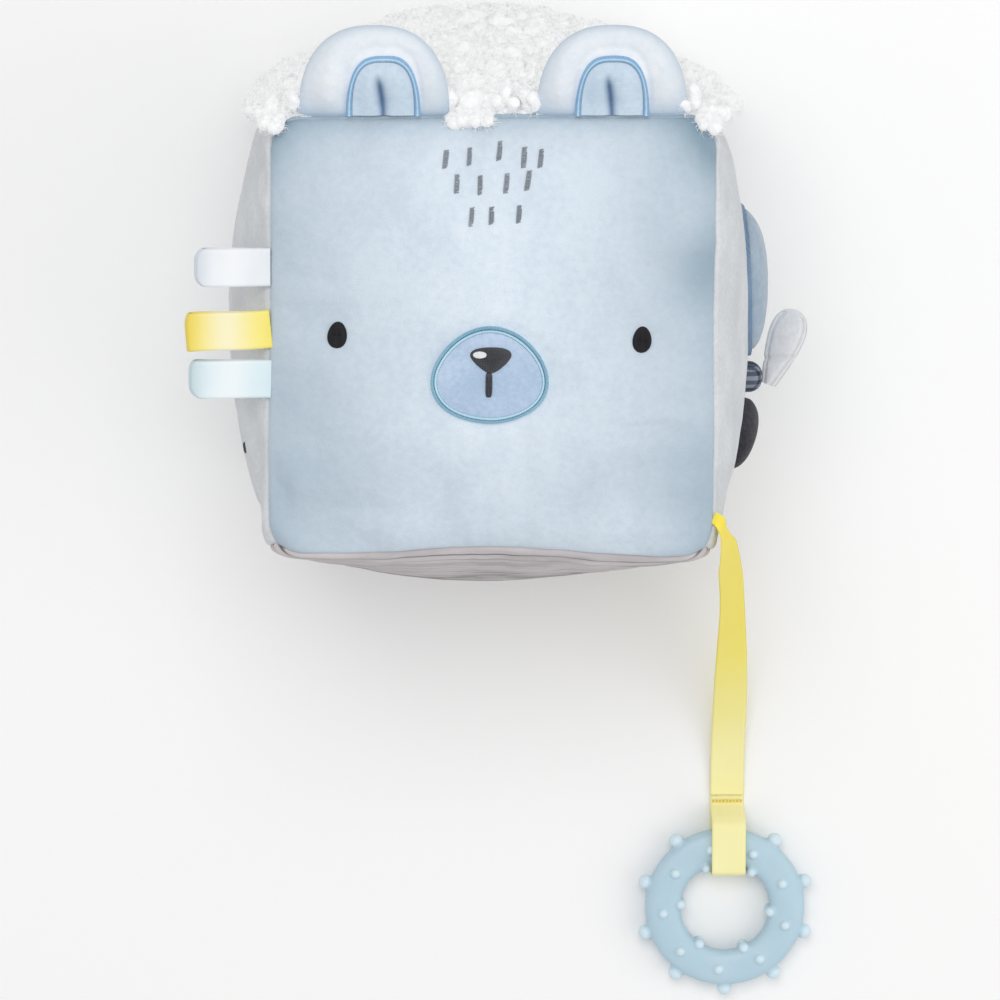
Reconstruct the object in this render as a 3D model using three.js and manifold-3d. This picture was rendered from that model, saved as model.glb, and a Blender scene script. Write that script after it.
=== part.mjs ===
// Soft fabric block: a baby's stuffed cube with a bear's face, ears, ribbon tabs and a teething ring
// Millimetres. The block lies on its back: +X runs to the face's right, +Y to its ears, +Z out of the face
import * as THREE from 'three';
import { mergeVertices } from 'three/addons/utils/BufferGeometryUtils.js';
import Module from 'manifold-3d';

const wasm = await Module();
wasm.setup();

// Block
const block_width = 150;
const block_height = 147;
const block_depth = 150;
const seam_lift = 3;
const left_crown = 16;
const right_crown = 16.5;
const top_crown = 25;
const bottom_crown = 20;
const front_crown = 14;
const back_crown = 9;
const corner_pull_share = 0.05;
const corner_sharpness = 8;
const cloth_thickness = 2;
const gap = 0.3;
const panel_cells = 12;

// Plush of the top panel
const pile = 8;
const pile_overhang = 8;
const pile_edge_share = 0.2;
const pile_roundness = 12;
const pile_end_roundness = 4;
const overhang_sharpness = 5;

// Ears
const ear_width = 50;
const ear_height = 31;
const ear_half_thickness = 6.5;
const ear_rim = 0.5;
const ear_lean_degrees = 14;
const ear_root_lift = 1.4;
const ear_place_share = 0.527;
const ear_root_share = 0.1;
const ear_rise_share = 0.6;
const ear_squareness = 2.4;
const ear_cells = 10;
const leaf_tip_roundness = 6;
const leaf_cells = 8;
const thinning_power = 4;
const inner_width = 20.5;
const inner_height = 19.6;
const inner_squareness = 3;
const inner_aside = { left: 3, right: 0 };
const inner_thickness = 0.7;
const inner_stitch_width = 2;

// Embroidery on the face, with places as shares of the face's half width and half height
const patch_thickness = 0.8;
const stitch_thickness = 1;
const muzzle_width = 39.2;
const muzzle_height = 32.6;
const muzzle_border = 2.4;
const muzzle_place_shares = [-0.025, -0.168];
const muzzle_taper_share = 0.18;
const eye_width = 6.6;
const eye_height = 9.2;
const eye_place_shares = [[-0.692, 0.015], [0.665, -0.003]];
const eye_taper_share = 0.12;
const nose_width = 14;
const nose_height = 8.8;
const nose_place_shares = [-0.022, -0.1];
const highlight_width = 4.6;
const highlight_height = 2.4;
const highlight_place_shares = [-0.071, -0.074];
const stem_width = 2.4;
const stem_height = 7.2;
const stem_place_shares = [-0.03, -0.22];
const forehead_stitch_width = 2;
const forehead_stitch_height = 6.4;
const forehead_stitch_lean_degrees = -6;
const border_steps = 32;
const pad_steps = 12;
const forehead_stitch_place_shares = [
  [-0.215, 0.803], [-0.108, 0.82], [0.029, 0.842], [0.136, 0.811], [0.207, 0.805],
  [-0.167, 0.699], [-0.056, 0.695], [0.06, 0.699], [0.153, 0.709],
  [-0.1, 0.554], [-0.008, 0.558], [0.112, 0.562],
];
const nose_outline_shares = [
  [1, 0.35], [0.75, 0.85], [0, 1], [-0.75, 0.85],
  [-1, 0.35], [-0.62, -0.45], [0, -1], [0.62, -0.45],
];

// Ribbons
const ribbon_width = 12.7;
const ribbon_thickness = 0.4;
const ribbon_pinch_share = 0.45;
const tab_opening = 2.4;
const tab_root_gap = 0.8;
const tab_lengths = { white: 24.4, yellow: 27.6, aqua: 26.6 };
const middle_tab_place_share = 0.03;
const tab_spaces = { white: 8.1, yellow: 0, aqua: 4.1 };
const tab_order = { white: 1, yellow: 0, aqua: -1 };
const tab_turn_degrees = { white: 0, yellow: 5, aqua: -1.5 };

// Strap: the middle of the ribbon from the right seam down to the surface that the block lies on
const strap_route = [
  [74.5, -62.4, 152.2], [77.2, -62.6, 153], [79.3, -64.6, 153.2], [80.2, -68.4, 150.6],
  [81.2, -74, 142.4], [82.3, -80.4, 129], [83.6, -87.4, 113.2], [84.9, -94.8, 97.5],
  [86.1, -102.4, 82.8], [87.2, -110, 69], [88.2, -117.6, 56.2], [89.1, -125.2, 44.6],
  [89.9, -132.8, 34.2], [90.5, -140.4, 25.3], [91, -148, 17.7], [91.3, -155.6, 11.6],
  [91.4, -163.2, 6.9], [91.4, -170.8, 3.6], [91.4, -178.4, 1.6], [91.4, -185, 0.9], [91.4, -191.2, 0.9],
];
const strap_pinch_length = 20;
const fold_gap = 0.7;
const sewn_land = 3.4;
const sewn_tail = 4;
const strap_stitch_width = 1;
const fold_steps = 4;

// Teething ring
const ring_diameter = 60;
const ring_hole = 33.4;
const ring_thickness = 8.5;
const ring_roundness = 2.6;
const outer_bump_radius = 2.8;
const outer_bump_offset = 1.3;
const outer_bumps = 10;
const outer_bump_turn = 18;
const face_bump_radius = 2.1;
const face_bump_height = 1.5;
const face_bumps = 9;
const face_bump_turn = 24;
const inner_bump_radius = 2.1;
const inner_bump_height = 1.6;
const inner_bump_rise = 2.6;
const inner_bumps = 6;
const inner_bump_turn = 55;
const bump_steps = 7;
const ring_steps = 48;
const ring_section_steps = 16;
const stitch_to_rim = 7.7;
const ring_aside = -0.9;
const fold_radius = 2.5;

// Right side's pads, band and leaf, and the left side's dash
const blue_pad_length = 54;
const blue_pad_width = 48;
const blue_pad_crown = 6;
const blue_pad_place_shares = [0.157, 0.09];
const pad_stitch_width = 2;
const dark_pad_length = 25;
const dark_pad_width = 27;
const dark_pad_crown = 6.5;
const band_length = 11;
const band_width = 15;
const band_crown = 5;
const pad_spacing = 1.8;
const leaf_length = 28;
const leaf_width = 15;
const leaf_half_thickness = 1.6;
const leaf_rim = 0.5;
const leaf_root_share = 0.34;
const leaf_lean_degrees = -20;
const leaf_twist_degrees = 48;
const dash_length = 5;
const dash_width = 2;
const dash_turn_degrees = 25;
const dash_place_shares = [-0.56, 0.66];

// Sizes worked out from the ones above
const half_width = block_width / 2;
const half_height = block_height / 2;
const half_depth = block_depth / 2;
const centre_height = half_depth + seam_lift;
const seam_height = centre_height + half_depth;
const edge_share = gap / Math.SQRT2 / Math.min(half_width, half_height, half_depth);

const radians = (degrees) => (degrees * Math.PI) / 180;

function materialOf(color, roughness) {
  return new THREE.MeshStandardMaterial({ color, roughness, metalness: 0 });
}

const velour = materialOf('#c8dae8', 0.95);
const pale_velour = materialOf('#e1ebf5', 0.95);
const plush = materialOf('#f5f7fa', 1);
const grey_cotton = materialOf('#c8cbd0', 0.9);
const ribbed_cotton = materialOf('#b9b2b4', 0.9);
const fibre = materialOf('#f0f0ee', 1);
const blue_fill = materialOf('#c0d4eb', 0.8);
const blue_satin = materialOf('#84b0d4', 0.5);
const dark_thread = materialOf('#4b4b50', 0.7);
const black_thread = materialOf('#28262a', 0.6);
const white_thread = materialOf('#f5f5f5', 0.6);
const white_satin = materialOf('#f0f5fa', 0.4);
const yellow_satin = materialOf('#f7ec73', 0.4);
const aqua_satin = materialOf('#dff0f5', 0.4);
const silicone = materialOf('#b8d2e2', 0.45);
const blue_cotton = materialOf('#96aabe', 0.9);
const black_cotton = materialOf('#3c3c42', 0.85);
const checked_cotton = materialOf('#5a6273', 0.9);
const light_grey_cotton = materialOf('#d0d0d0', 0.9);

// Signed volume of a closed geometry, negative where its faces point in
function signedVolume(points, triangles) {
  const corner = (index) => new THREE.Vector3().fromArray(points, triangles[index] * 3);
  let sum = 0;
  for (let k = 0; k < triangles.length; k += 3) {
    sum += corner(k).dot(corner(k + 1).cross(corner(k + 2)));
  }
  return sum / 6;
}

// A closed geometry from points and triangles: points that coincide are joined, and faces point out
function closedGeometry(positions, indices) {
  const raw = new THREE.BufferGeometry();
  raw.setAttribute('position', new THREE.Float32BufferAttribute(positions, 3));
  raw.setIndex(indices);
  const merged = mergeVertices(raw);
  const points = merged.getAttribute('position').array;
  const triangles = [];
  for (let k = 0; k < indices.length; k += 3) {
    const [p, q, r] = [0, 1, 2].map((step) => merged.index.getX(k + step));
    if (p !== q && q !== r && r !== p) {
      triangles.push(p, q, r);
    }
  }
  if (signedVolume(points, triangles) < 0) {
    triangles.reverse();
  }
  merged.setIndex(triangles);
  merged.computeVertexNormals();
  return merged;
}

// A closed solid between an under grid (side 0) and an over grid (side 1); a loop closes on itself along i
function sheetGeometry(columns, rows, at, loop = false) {
  const wide = loop ? columns : columns + 1;
  const positions = [];
  const indices = [];
  const id = (i, j, side) => (side * (rows + 1) + j) * wide + (i % wide);
  const quad = (p, q, r, s) => indices.push(p, q, r, p, r, s);
  for (const side of [0, 1]) {
    for (let j = 0; j <= rows; j += 1) {
      for (let i = 0; i < wide; i += 1) {
        positions.push(...at(i, j, side).toArray());
      }
    }
  }
  for (let j = 0; j < rows; j += 1) {
    for (let i = 0; i < columns; i += 1) {
      quad(id(i, j, 1), id(i + 1, j, 1), id(i + 1, j + 1, 1), id(i, j + 1, 1));
      quad(id(i, j, 0), id(i, j + 1, 0), id(i + 1, j + 1, 0), id(i + 1, j, 0));
    }
  }
  for (let i = 0; i < columns; i += 1) {
    quad(id(i, 0, 0), id(i + 1, 0, 0), id(i + 1, 0, 1), id(i, 0, 1));
    quad(id(i, rows, 1), id(i + 1, rows, 1), id(i + 1, rows, 0), id(i, rows, 0));
  }
  for (let j = 0; j < rows && !loop; j += 1) {
    quad(id(0, j, 1), id(0, j + 1, 1), id(0, j + 1, 0), id(0, j, 0));
    quad(id(columns, j, 0), id(columns, j + 1, 0), id(columns, j + 1, 1), id(columns, j, 1));
  }
  return closedGeometry(positions, indices);
}

function meshOf(name, geometry, material) {
  const mesh = new THREE.Mesh(geometry, material);
  mesh.name = name;
  return mesh;
}

// The stuffed cube's surface. a, b and c run from -1 to 1 across its width, height and depth
function blockPoint(a, b, c, inset) {
  const pull = 1 - corner_pull_share * Math.abs(a * b * c) ** corner_sharpness;
  const side_crown = a < 0 ? left_crown : right_crown;
  const end_crown = b < 0 ? bottom_crown : top_crown;
  const face_crown = c < 0 ? back_crown : front_crown;
  const x = (half_width - inset) * a * pull + side_crown * a * (1 - b * b) * (1 - c * c);
  const y = (half_height - inset) * b * pull + end_crown * b * (1 - a * a) * (1 - c * c);
  const z = centre_height + (half_depth - inset) * c * pull + face_crown * c * (1 - a * a) * (1 - b * b);
  return new THREE.Vector3(x, y, Math.max(z, inset));
}

// Points of the front, right and left panels, from real places on them and a lift off the cloth
const onFront = (x, y, lift) => blockPoint(x / half_width, y / half_height, 1, -lift);
const onRight = (y, z, lift) => blockPoint(1, y / half_height, (z - centre_height) / half_depth, -lift);
const onLeft = (y, z, lift) => blockPoint(-1, y / half_height, (z - centre_height) / half_depth, -lift);

const spread = (index, count) => (2 * index) / count - 1;

// Each face's places on the cube, from the shares across and up it
const face_places = {
  front: (u, v) => [u, v, 1],
  back: (u, v) => [-u, v, -1],
  left: (u, v) => [-1, v, u],
  right: (u, v) => [1, v, -u],
  bottom: (u, v) => [u, -1, v],
  top: (u, v) => [u, 1, -v],
};

// Panels of cloth, mitred where they meet
function panelGeometry(place) {
  const reach = 1 - edge_share;
  return sheetGeometry(panel_cells, panel_cells, (i, j, side) => {
    const [a, b, c] = place(spread(i, panel_cells) * reach, spread(j, panel_cells) * reach);
    return blockPoint(a, b, c, side ? 0 : cloth_thickness);
  });
}

// Top panel with its pile, which rolls out over the left and right seams
function plushGeometry() {
  const reach = 1 - edge_share;
  return sheetGeometry(panel_cells, panel_cells, (i, j, side) => {
    const across = spread(i, panel_cells);
    const deep = spread(j, panel_cells);
    if (side === 0) {
      return blockPoint(...face_places.top(across * reach, deep * reach), cloth_thickness);
    }
    const a = Math.sin((Math.PI / 2) * across) * reach;
    const c = -Math.sin((Math.PI / 2) * deep) * reach;
    const edge = Math.abs(across) === 1 ? 0 : pile_edge_share;
    const point = blockPoint(a, 1, c, 0);
    const middle = (1 - a ** pile_roundness) * (1 - c ** pile_end_roundness);
    point.y += pile * (edge + (1 - pile_edge_share) * middle);
    const roll = Math.sin(Math.PI * Math.abs(across) ** overhang_sharpness);
    point.x += pile_overhang * Math.sign(across) * roll;
    return point;
  });
}

// Filling: the cube inside its panels, from one grid for each of its six faces
function coreGeometry() {
  const positions = [];
  const indices = [];
  const wide = panel_cells + 1;
  Object.values(face_places).forEach((place, face) => {
    const id = (i, j) => (face * wide + j) * wide + i;
    for (let j = 0; j <= panel_cells; j += 1) {
      for (let i = 0; i <= panel_cells; i += 1) {
        const [a, b, c] = place(spread(i, panel_cells), spread(j, panel_cells));
        positions.push(...blockPoint(a, b, c, cloth_thickness + gap).toArray());
        if (i < panel_cells && j < panel_cells) {
          indices.push(id(i, j), id(i + 1, j), id(i + 1, j + 1));
          indices.push(id(i, j), id(i + 1, j + 1), id(i, j + 1));
        }
      }
    }
  });
  return closedGeometry(positions, indices);
}

// A pad on a surface: round its middle by angle, out to its outline, with a crown in the middle
function padGeometry(pad) {
  const { surface, middle, outline, lift, thickness, crown = 0, rings = 2, steps = pad_steps } = pad;
  return sheetGeometry(steps, rings, (i, j, side) => {
    const share = j / rings;
    const [dx, dy] = outline((2 * Math.PI * i) / steps);
    const height = side ? thickness + crown * (1 - share * share) : 0;
    return surface(middle[0] + dx * share, middle[1] + dy * share, lift + height);
  }, true);
}

// A border round a pad's outline
function borderGeometry({ surface, middle, outline, lift, thickness, width }) {
  const steps = border_steps;
  return sheetGeometry(steps, 1, (i, j, side) => {
    const [dx, dy] = outline((2 * Math.PI * i) / steps);
    const reach = (gap + j * width) / Math.hypot(dx, dy) + 1;
    return surface(middle[0] + dx * reach, middle[1] + dy * reach, lift + side * thickness);
  }, true);
}

// Outlines, as functions of the angle from the middle
function eggOutline(width, height, taper_share = 0, turn_degrees = 0) {
  const turn = radians(turn_degrees);
  return (angle) => {
    const x = (width / 2) * Math.cos(angle) * (1 - taper_share * Math.sin(angle));
    const y = (height / 2) * Math.sin(angle);
    return [x * Math.cos(turn) - y * Math.sin(turn), x * Math.sin(turn) + y * Math.cos(turn)];
  };
}

function curveOutline(width, height, shares) {
  const points = shares.map(([x, y]) => new THREE.Vector3((x * width) / 2, (y * height) / 2, 0));
  const curve = new THREE.CatmullRomCurve3(points, true);
  return (angle) => curve.getPoint(angle / (2 * Math.PI)).toArray();
}

const facePlace = ([a_share, b_share]) => [a_share * half_width, b_share * half_height];
const sidePlace = ([b_share, c_share]) => [b_share * half_height, centre_height + c_share * half_depth];

// Right side's pads in a row, each a spacing below the last
const blue_place = sidePlace(blue_pad_place_shares);
const below = ([y, z], length, next_length) => [y - (length + next_length) / 2 - pad_spacing, z];
const band_place = below(blue_place, blue_pad_length, band_length);
const dark_place = below(band_place, band_length, dark_pad_length);

// A ribbon along points, each with the direction of its width and its width
function ribbonGeometry(points, sideways, widths) {
  const last = points.length - 1;
  return sheetGeometry(last, 1, (i, j, side) => {
    const ahead = points[Math.min(i + 1, last)].clone().sub(points[Math.max(i - 1, 0)]).normalize();
    const across = sideways[i].clone().addScaledVector(ahead, -sideways[i].dot(ahead)).normalize();
    const normal = ahead.cross(across).normalize();
    const point = points[i].clone().addScaledVector(across, (j - 1 / 2) * widths[i]);
    return point.addScaledVector(normal, (side - 1 / 2) * ribbon_thickness);
  });
}

// A folded loop of ribbon in the X and Z directions
function foldedRibbon(places) {
  const points = places.map(([x, z]) => new THREE.Vector3(x, 0, z));
  const sideways = points.map(() => new THREE.Vector3(0, 1, 0));
  const widths = points.map(() => ribbon_width);
  return ribbonGeometry(points, sideways, widths);
}

function arcPlaces(x, z, radius, from_degrees, to_degrees, steps) {
  return Array.from({ length: steps + 1 }, (_, k) => {
    const angle = radians(from_degrees + ((to_degrees - from_degrees) * k) / steps);
    return [x + radius * Math.cos(angle), z + radius * Math.sin(angle)];
  });
}

// A stuffed leaf of cloth that stands on its root, with its thickness as a function of its own places
function leafShape({ width, height, half_thickness, rim, widthAt, riseAt }) {
  const reachAt = (v) => Math.max((width / 2) * widthAt(v), 0);
  const thicknessAt = (x, y) => {
    const v = Math.min(y / height, 1);
    const s = Math.min(Math.abs(x) / Math.max(reachAt(v), rim), 1);
    return rim + (half_thickness - rim) * Math.sqrt((1 - s * s) * (1 - v ** thinning_power)) * riseAt(v);
  };
  return { height, reachAt, thicknessAt };
}

function leafGeometry(shape, cells, under, over) {
  return sheetGeometry(cells, cells, (i, j, side) => {
    const v = Math.sin(((Math.PI / 2) * j) / cells);
    const x = Math.sin((Math.PI / 2) * spread(i, cells)) * shape.reachAt(v);
    const y = v * shape.height;
    return new THREE.Vector3(x, y, side ? over(x, y) : under(x, y));
  });
}

// Ears
const riseFrom = (share, v) => share + (1 - share) * Math.sin((Math.PI / 2) * v);

const ear = leafShape({
  width: ear_width,
  height: ear_height,
  half_thickness: ear_half_thickness,
  rim: ear_rim,
  widthAt: (v) => (1 - v ** ear_squareness) ** (1 / ear_squareness),
  riseAt: (v) => riseFrom(ear_root_share, Math.min(v / ear_rise_share, 1)),
});

// An arch of the inner patch: its half width at a share of its height
function archPoint(angle, grow) {
  const power = 2 / inner_squareness;
  const x = (inner_width / 2 + grow) * Math.sign(Math.cos(angle)) * Math.abs(Math.cos(angle)) ** power;
  const y = (inner_height + grow) * Math.sin(angle) ** power;
  return [x, y];
}

function earInnerGeometry(lift, aside) {
  return sheetGeometry(ear_cells, ear_cells / 2, (i, j, side) => {
    const [edge, y] = archPoint(((Math.PI / 2) * j) / (ear_cells / 2), 0);
    const x = aside + spread(i, ear_cells) * edge;
    return new THREE.Vector3(x, y, ear.thicknessAt(x, y) + lift + side * inner_thickness);
  });
}

function earStitchGeometry(lift, aside) {
  const steps = 2 * ear_cells;
  return sheetGeometry(steps, 1, (i, j, side) => {
    const [edge, y] = archPoint((Math.PI * i) / steps, gap + j * inner_stitch_width);
    const x = aside + edge;
    return new THREE.Vector3(x, y, ear.thicknessAt(x, y) + lift + side * stitch_thickness);
  });
}

function earGroup(side_name, side) {
  const group = new THREE.Group();
  const back = (x, y) => -ear.thicknessAt(x, y) - gap / 2;
  const front = (x, y) => ear.thicknessAt(x, y) - gap / 2;
  const aside = inner_aside[side_name];
  group.add(
    meshOf(`ear_${side_name}_front`, leafGeometry(ear, ear_cells, () => gap / 2, front), pale_velour),
    meshOf(`ear_${side_name}_back`, leafGeometry(ear, ear_cells, back, () => -gap / 2), plush),
    meshOf(`ear_${side_name}_inner`, earInnerGeometry(gap, aside), blue_fill),
    meshOf(`ear_${side_name}_stitch`, earStitchGeometry(gap, aside), blue_satin),
  );
  group.position.set(side * ear_place_share * half_width, half_height + gap, seam_height + ear_root_lift);
  group.rotation.x = radians(ear_lean_degrees);
  return group;
}

// Tabs
function tabMesh(name, material) {
  const bend = tab_opening / 2 + ribbon_thickness / 2;
  const layer = gap / 2 + ribbon_thickness / 2;
  const turn = radians(tab_turn_degrees[name]);
  const start = gap - tab_root_gap - (ribbon_width / 2) * Math.abs(Math.sin(turn));
  const tip = bend - tab_lengths[name];
  const places = [[start, -layer], ...arcPlaces(tip, 0, bend, 270, 90, ear_cells), [start, layer]];
  const mesh = meshOf(`tab_${name}`, foldedRibbon(places), material);
  const step = tab_order[name] * (ribbon_width + tab_spaces[name]);
  mesh.position.set(-half_width - gap, middle_tab_place_share * half_height + step, seam_height);
  mesh.rotation.z = turn;
  return mesh;
}

// Strap
const route = strap_route.map((place) => new THREE.Vector3(...place));
const strap_end = route[route.length - 1];

function strapGeometry() {
  const along = [0];
  for (let k = 1; k < route.length; k += 1) {
    along.push(along[k - 1] + route[k].distanceTo(route[k - 1]));
  }
  const grown = along.map((length) => THREE.MathUtils.smoothstep(length, 0, strap_pinch_length));
  const sideways = grown.map((share) => new THREE.Vector3(share, 1 - share, 0));
  const pinched = ribbon_pinch_share * ribbon_width;
  const widths = grown.map((share) => THREE.MathUtils.lerp(pinched, ribbon_width, share));
  return ribbonGeometry(route, sideways, widths);
}

// Ring and the strap's loop round it
const ring_reach = ring_diameter / 2 + outer_bump_offset + outer_bump_radius;
const ring_place_y = strap_end.y - stitch_to_rim - ring_reach;
const ring_bottom = ribbon_thickness + gap;
const ring_middle = ring_bottom + face_bump_height + ring_thickness / 2;

function loopGeometry() {
  const top = ring_middle + ring_thickness / 2 + face_bump_height + gap + ribbon_thickness / 2;
  const bottom = ribbon_thickness / 2;
  const start = strap_end.y - fold_gap;
  const rim = ring_place_y + ring_reach + gap;
  const over_bump = ring_middle + outer_bump_radius + gap + ribbon_thickness;
  const half = ribbon_width / 2 + Math.abs(ring_aside);
  const free = Math.sqrt((ring_hole / 2 - inner_bump_height) ** 2 - half ** 2);
  const fold = ring_place_y + free - gap - ribbon_thickness / 2;
  const places = [
    [start, strap_end.z],
    [start - sewn_land, strap_end.z],
    [rim, over_bump],
    [rim - fold_radius, top],
    ...arcPlaces(fold + fold_radius, top - fold_radius, fold_radius, 90, 180, fold_steps),
    ...arcPlaces(fold + fold_radius, bottom + fold_radius, fold_radius, 180, 270, fold_steps),
    [rim, bottom],
    [start + sewn_tail, bottom],
  ];
  return foldedRibbon(places);
}

function solidOf(geometry) {
  const bare = geometry.clone();
  bare.deleteAttribute('normal');
  bare.deleteAttribute('uv');
  const merged = mergeVertices(bare);
  const vertProperties = new Float32Array(merged.getAttribute('position').array);
  const triVerts = new Uint32Array(merged.index.array);
  return new wasm.Manifold(new wasm.Mesh({ numProp: 3, vertProperties, triVerts }));
}

function geometryOf(solid) {
  const mesh = solid.getMesh();
  const geometry = new THREE.BufferGeometry();
  geometry.setAttribute('position', new THREE.Float32BufferAttribute(mesh.vertProperties, 3));
  geometry.setIndex([...mesh.triVerts]);
  geometry.computeVertexNormals();
  return geometry;
}

function bumpSolids(count, turn, radius, reach, height) {
  return Array.from({ length: count }, (_, k) => {
    const angle = radians(turn + (360 * k) / count);
    const ball = new THREE.SphereGeometry(radius, bump_steps, bump_steps);
    ball.translate(reach * Math.cos(angle), reach * Math.sin(angle), height);
    return solidOf(ball);
  });
}

function ringGeometry() {
  const wall = (ring_diameter - ring_hole) / 4;
  const middle = (ring_diameter + ring_hole) / 4;
  const steps = ring_section_steps;
  const profile = Array.from({ length: steps + 1 }, (_, k) => {
    const angle = (-2 * Math.PI * (k % steps)) / steps;
    const across = Math.sign(Math.cos(angle)) * Math.abs(Math.cos(angle)) ** (2 / ring_roundness);
    const up = Math.sign(Math.sin(angle)) * Math.abs(Math.sin(angle)) ** (2 / ring_roundness);
    return new THREE.Vector2(middle + wall * across, (ring_thickness / 2) * up);
  });
  const body = new THREE.LatheGeometry(profile, ring_steps);
  body.rotateX(Math.PI / 2);
  const face = ring_thickness / 2 + face_bump_height - face_bump_radius;
  const inner_reach = ring_hole / 2 - inner_bump_height + inner_bump_radius;
  const outer_reach = ring_diameter / 2 + outer_bump_offset;
  const bumps = [
    ...bumpSolids(outer_bumps, outer_bump_turn, outer_bump_radius, outer_reach, 0),
    ...bumpSolids(face_bumps, face_bump_turn, face_bump_radius, middle, face),
    ...bumpSolids(face_bumps, face_bump_turn, face_bump_radius, middle, -face),
    ...bumpSolids(inner_bumps, inner_bump_turn, inner_bump_radius, inner_reach, inner_bump_rise),
    ...bumpSolids(inner_bumps, inner_bump_turn, inner_bump_radius, inner_reach, -inner_bump_rise),
  ];
  const tube = closedGeometry([...body.getAttribute('position').array], [...body.index.array]);
  return geometryOf(bumps.reduce((sum, bump) => sum.add(bump), solidOf(tube)));
}

// Leaf-shaped flap on the right side
const leaf = leafShape({
  width: leaf_width,
  height: leaf_length,
  half_thickness: leaf_half_thickness,
  rim: leaf_rim,
  widthAt: (v) => riseFrom(leaf_root_share, v) * Math.sqrt(1 - v ** leaf_tip_roundness),
  riseAt: () => 1,
});

function leafMesh() {
  const over = (x, y) => leaf.thicknessAt(x, y);
  const under = (x, y) => -leaf.thicknessAt(x, y);
  const mesh = meshOf('leaf_flap', leafGeometry(leaf, leaf_cells, under, over), light_grey_cotton);
  const twist = radians(leaf_twist_degrees);
  const half_root = leaf_root_share * leaf_width / 2;
  const clearance = gap + Math.hypot(half_root * Math.cos(twist), leaf_half_thickness * Math.sin(twist));
  const root = onRight(...band_place, gap + patch_thickness + band_crown + clearance);
  mesh.position.copy(root);
  mesh.rotation.set(0, radians(-leaf_twist_degrees), radians(leaf_lean_degrees), 'ZYX');
  return mesh;
}

function faceMeshes() {
  const patch_top = gap + patch_thickness + gap;
  const inset = 2 * (muzzle_border + gap);
  const muzzle = {
    surface: onFront,
    middle: facePlace(muzzle_place_shares),
    lift: gap,
    outline: eggOutline(muzzle_width - inset, muzzle_height - inset, muzzle_taper_share),
  };
  const patch = { ...muzzle, thickness: patch_thickness, rings: 4, steps: border_steps };
  const border = { ...muzzle, thickness: stitch_thickness, width: muzzle_border };
  const satin = (name, place_shares, outline, material, more = {}) => meshOf(
    name,
    padGeometry({
      surface: onFront, middle: facePlace(place_shares), outline, lift: gap, thickness: stitch_thickness,
      steps: 16, ...more,
    }),
    material,
  );
  const eye = eggOutline(eye_width, eye_height, eye_taper_share);
  const nose = curveOutline(nose_width, nose_height, nose_outline_shares);
  const highlight = eggOutline(highlight_width, highlight_height);
  const stem = eggOutline(stem_width, stem_height);
  const dash = eggOutline(forehead_stitch_width, forehead_stitch_height, 0, forehead_stitch_lean_degrees);
  const over_nose = { lift: patch_top + stitch_thickness + gap, thickness: patch_thickness / 2 };
  return [
    meshOf('muzzle_patch', padGeometry(patch), blue_fill),
    meshOf('muzzle_stitch', borderGeometry(border), blue_satin),
    satin('eye_left', eye_place_shares[0], eye, black_thread),
    satin('eye_right', eye_place_shares[1], eye, black_thread),
    satin('nose', nose_place_shares, nose, dark_thread, { lift: patch_top }),
    satin('nose_highlight', highlight_place_shares, highlight, white_thread, over_nose),
    satin('nose_stem', stem_place_shares, stem, dark_thread, { lift: patch_top }),
    ...forehead_stitch_place_shares.map((place_shares, k) => {
      const name = `forehead_stitch_${String(k + 1).padStart(2, '0')}`;
      return satin(name, place_shares, dash, dark_thread, { rings: 1, steps: 10 });
    }),
  ];
}

function sideMeshes() {
  const pad = (middle, length, width, crown) => ({
    surface: onRight,
    middle,
    outline: eggOutline(length, width),
    lift: gap,
    thickness: patch_thickness,
    crown,
    rings: 5,
    steps: 24,
  });
  const inset = 2 * (pad_stitch_width + gap);
  const blue = pad(blue_place, blue_pad_length - inset, blue_pad_width - inset, blue_pad_crown);
  const rim = { ...blue, thickness: stitch_thickness, width: pad_stitch_width };
  const dark = pad(dark_place, dark_pad_length, dark_pad_width, dark_pad_crown);
  const band = pad(band_place, band_length, band_width, band_crown);
  const dash = {
    surface: onLeft,
    middle: sidePlace(dash_place_shares),
    outline: eggOutline(dash_length, dash_width, 0, dash_turn_degrees),
    lift: gap,
    thickness: stitch_thickness,
  };
  return [
    meshOf('side_pad_blue', padGeometry(blue), blue_cotton),
    meshOf('side_pad_stitch', borderGeometry(rim), blue_satin),
    meshOf('side_pad_dark', padGeometry(dark), black_cotton),
    meshOf('flap_band', padGeometry(band), checked_cotton),
    meshOf('left_dash', padGeometry(dash), dark_thread),
  ];
}

function strapMeshes() {
  const loop = meshOf('strap_loop', loopGeometry(), yellow_satin);
  loop.rotation.z = Math.PI / 2;
  loop.position.x = strap_end.x;
  const sewn = new THREE.BoxGeometry(ribbon_width, strap_stitch_width, ribbon_thickness);
  const stitch = meshOf('strap_stitch', sewn, yellow_satin);
  const land = strap_end.y - fold_gap - sewn_land / 2;
  stitch.position.set(strap_end.x, land, strap_end.z + ribbon_thickness + gap);
  const ring = meshOf('teether_ring', ringGeometry(), silicone);
  ring.position.set(strap_end.x + ring_aside, ring_place_y, ring_middle);
  return [meshOf('strap_ribbon', strapGeometry(), yellow_satin), loop, stitch, ring];
}

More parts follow.
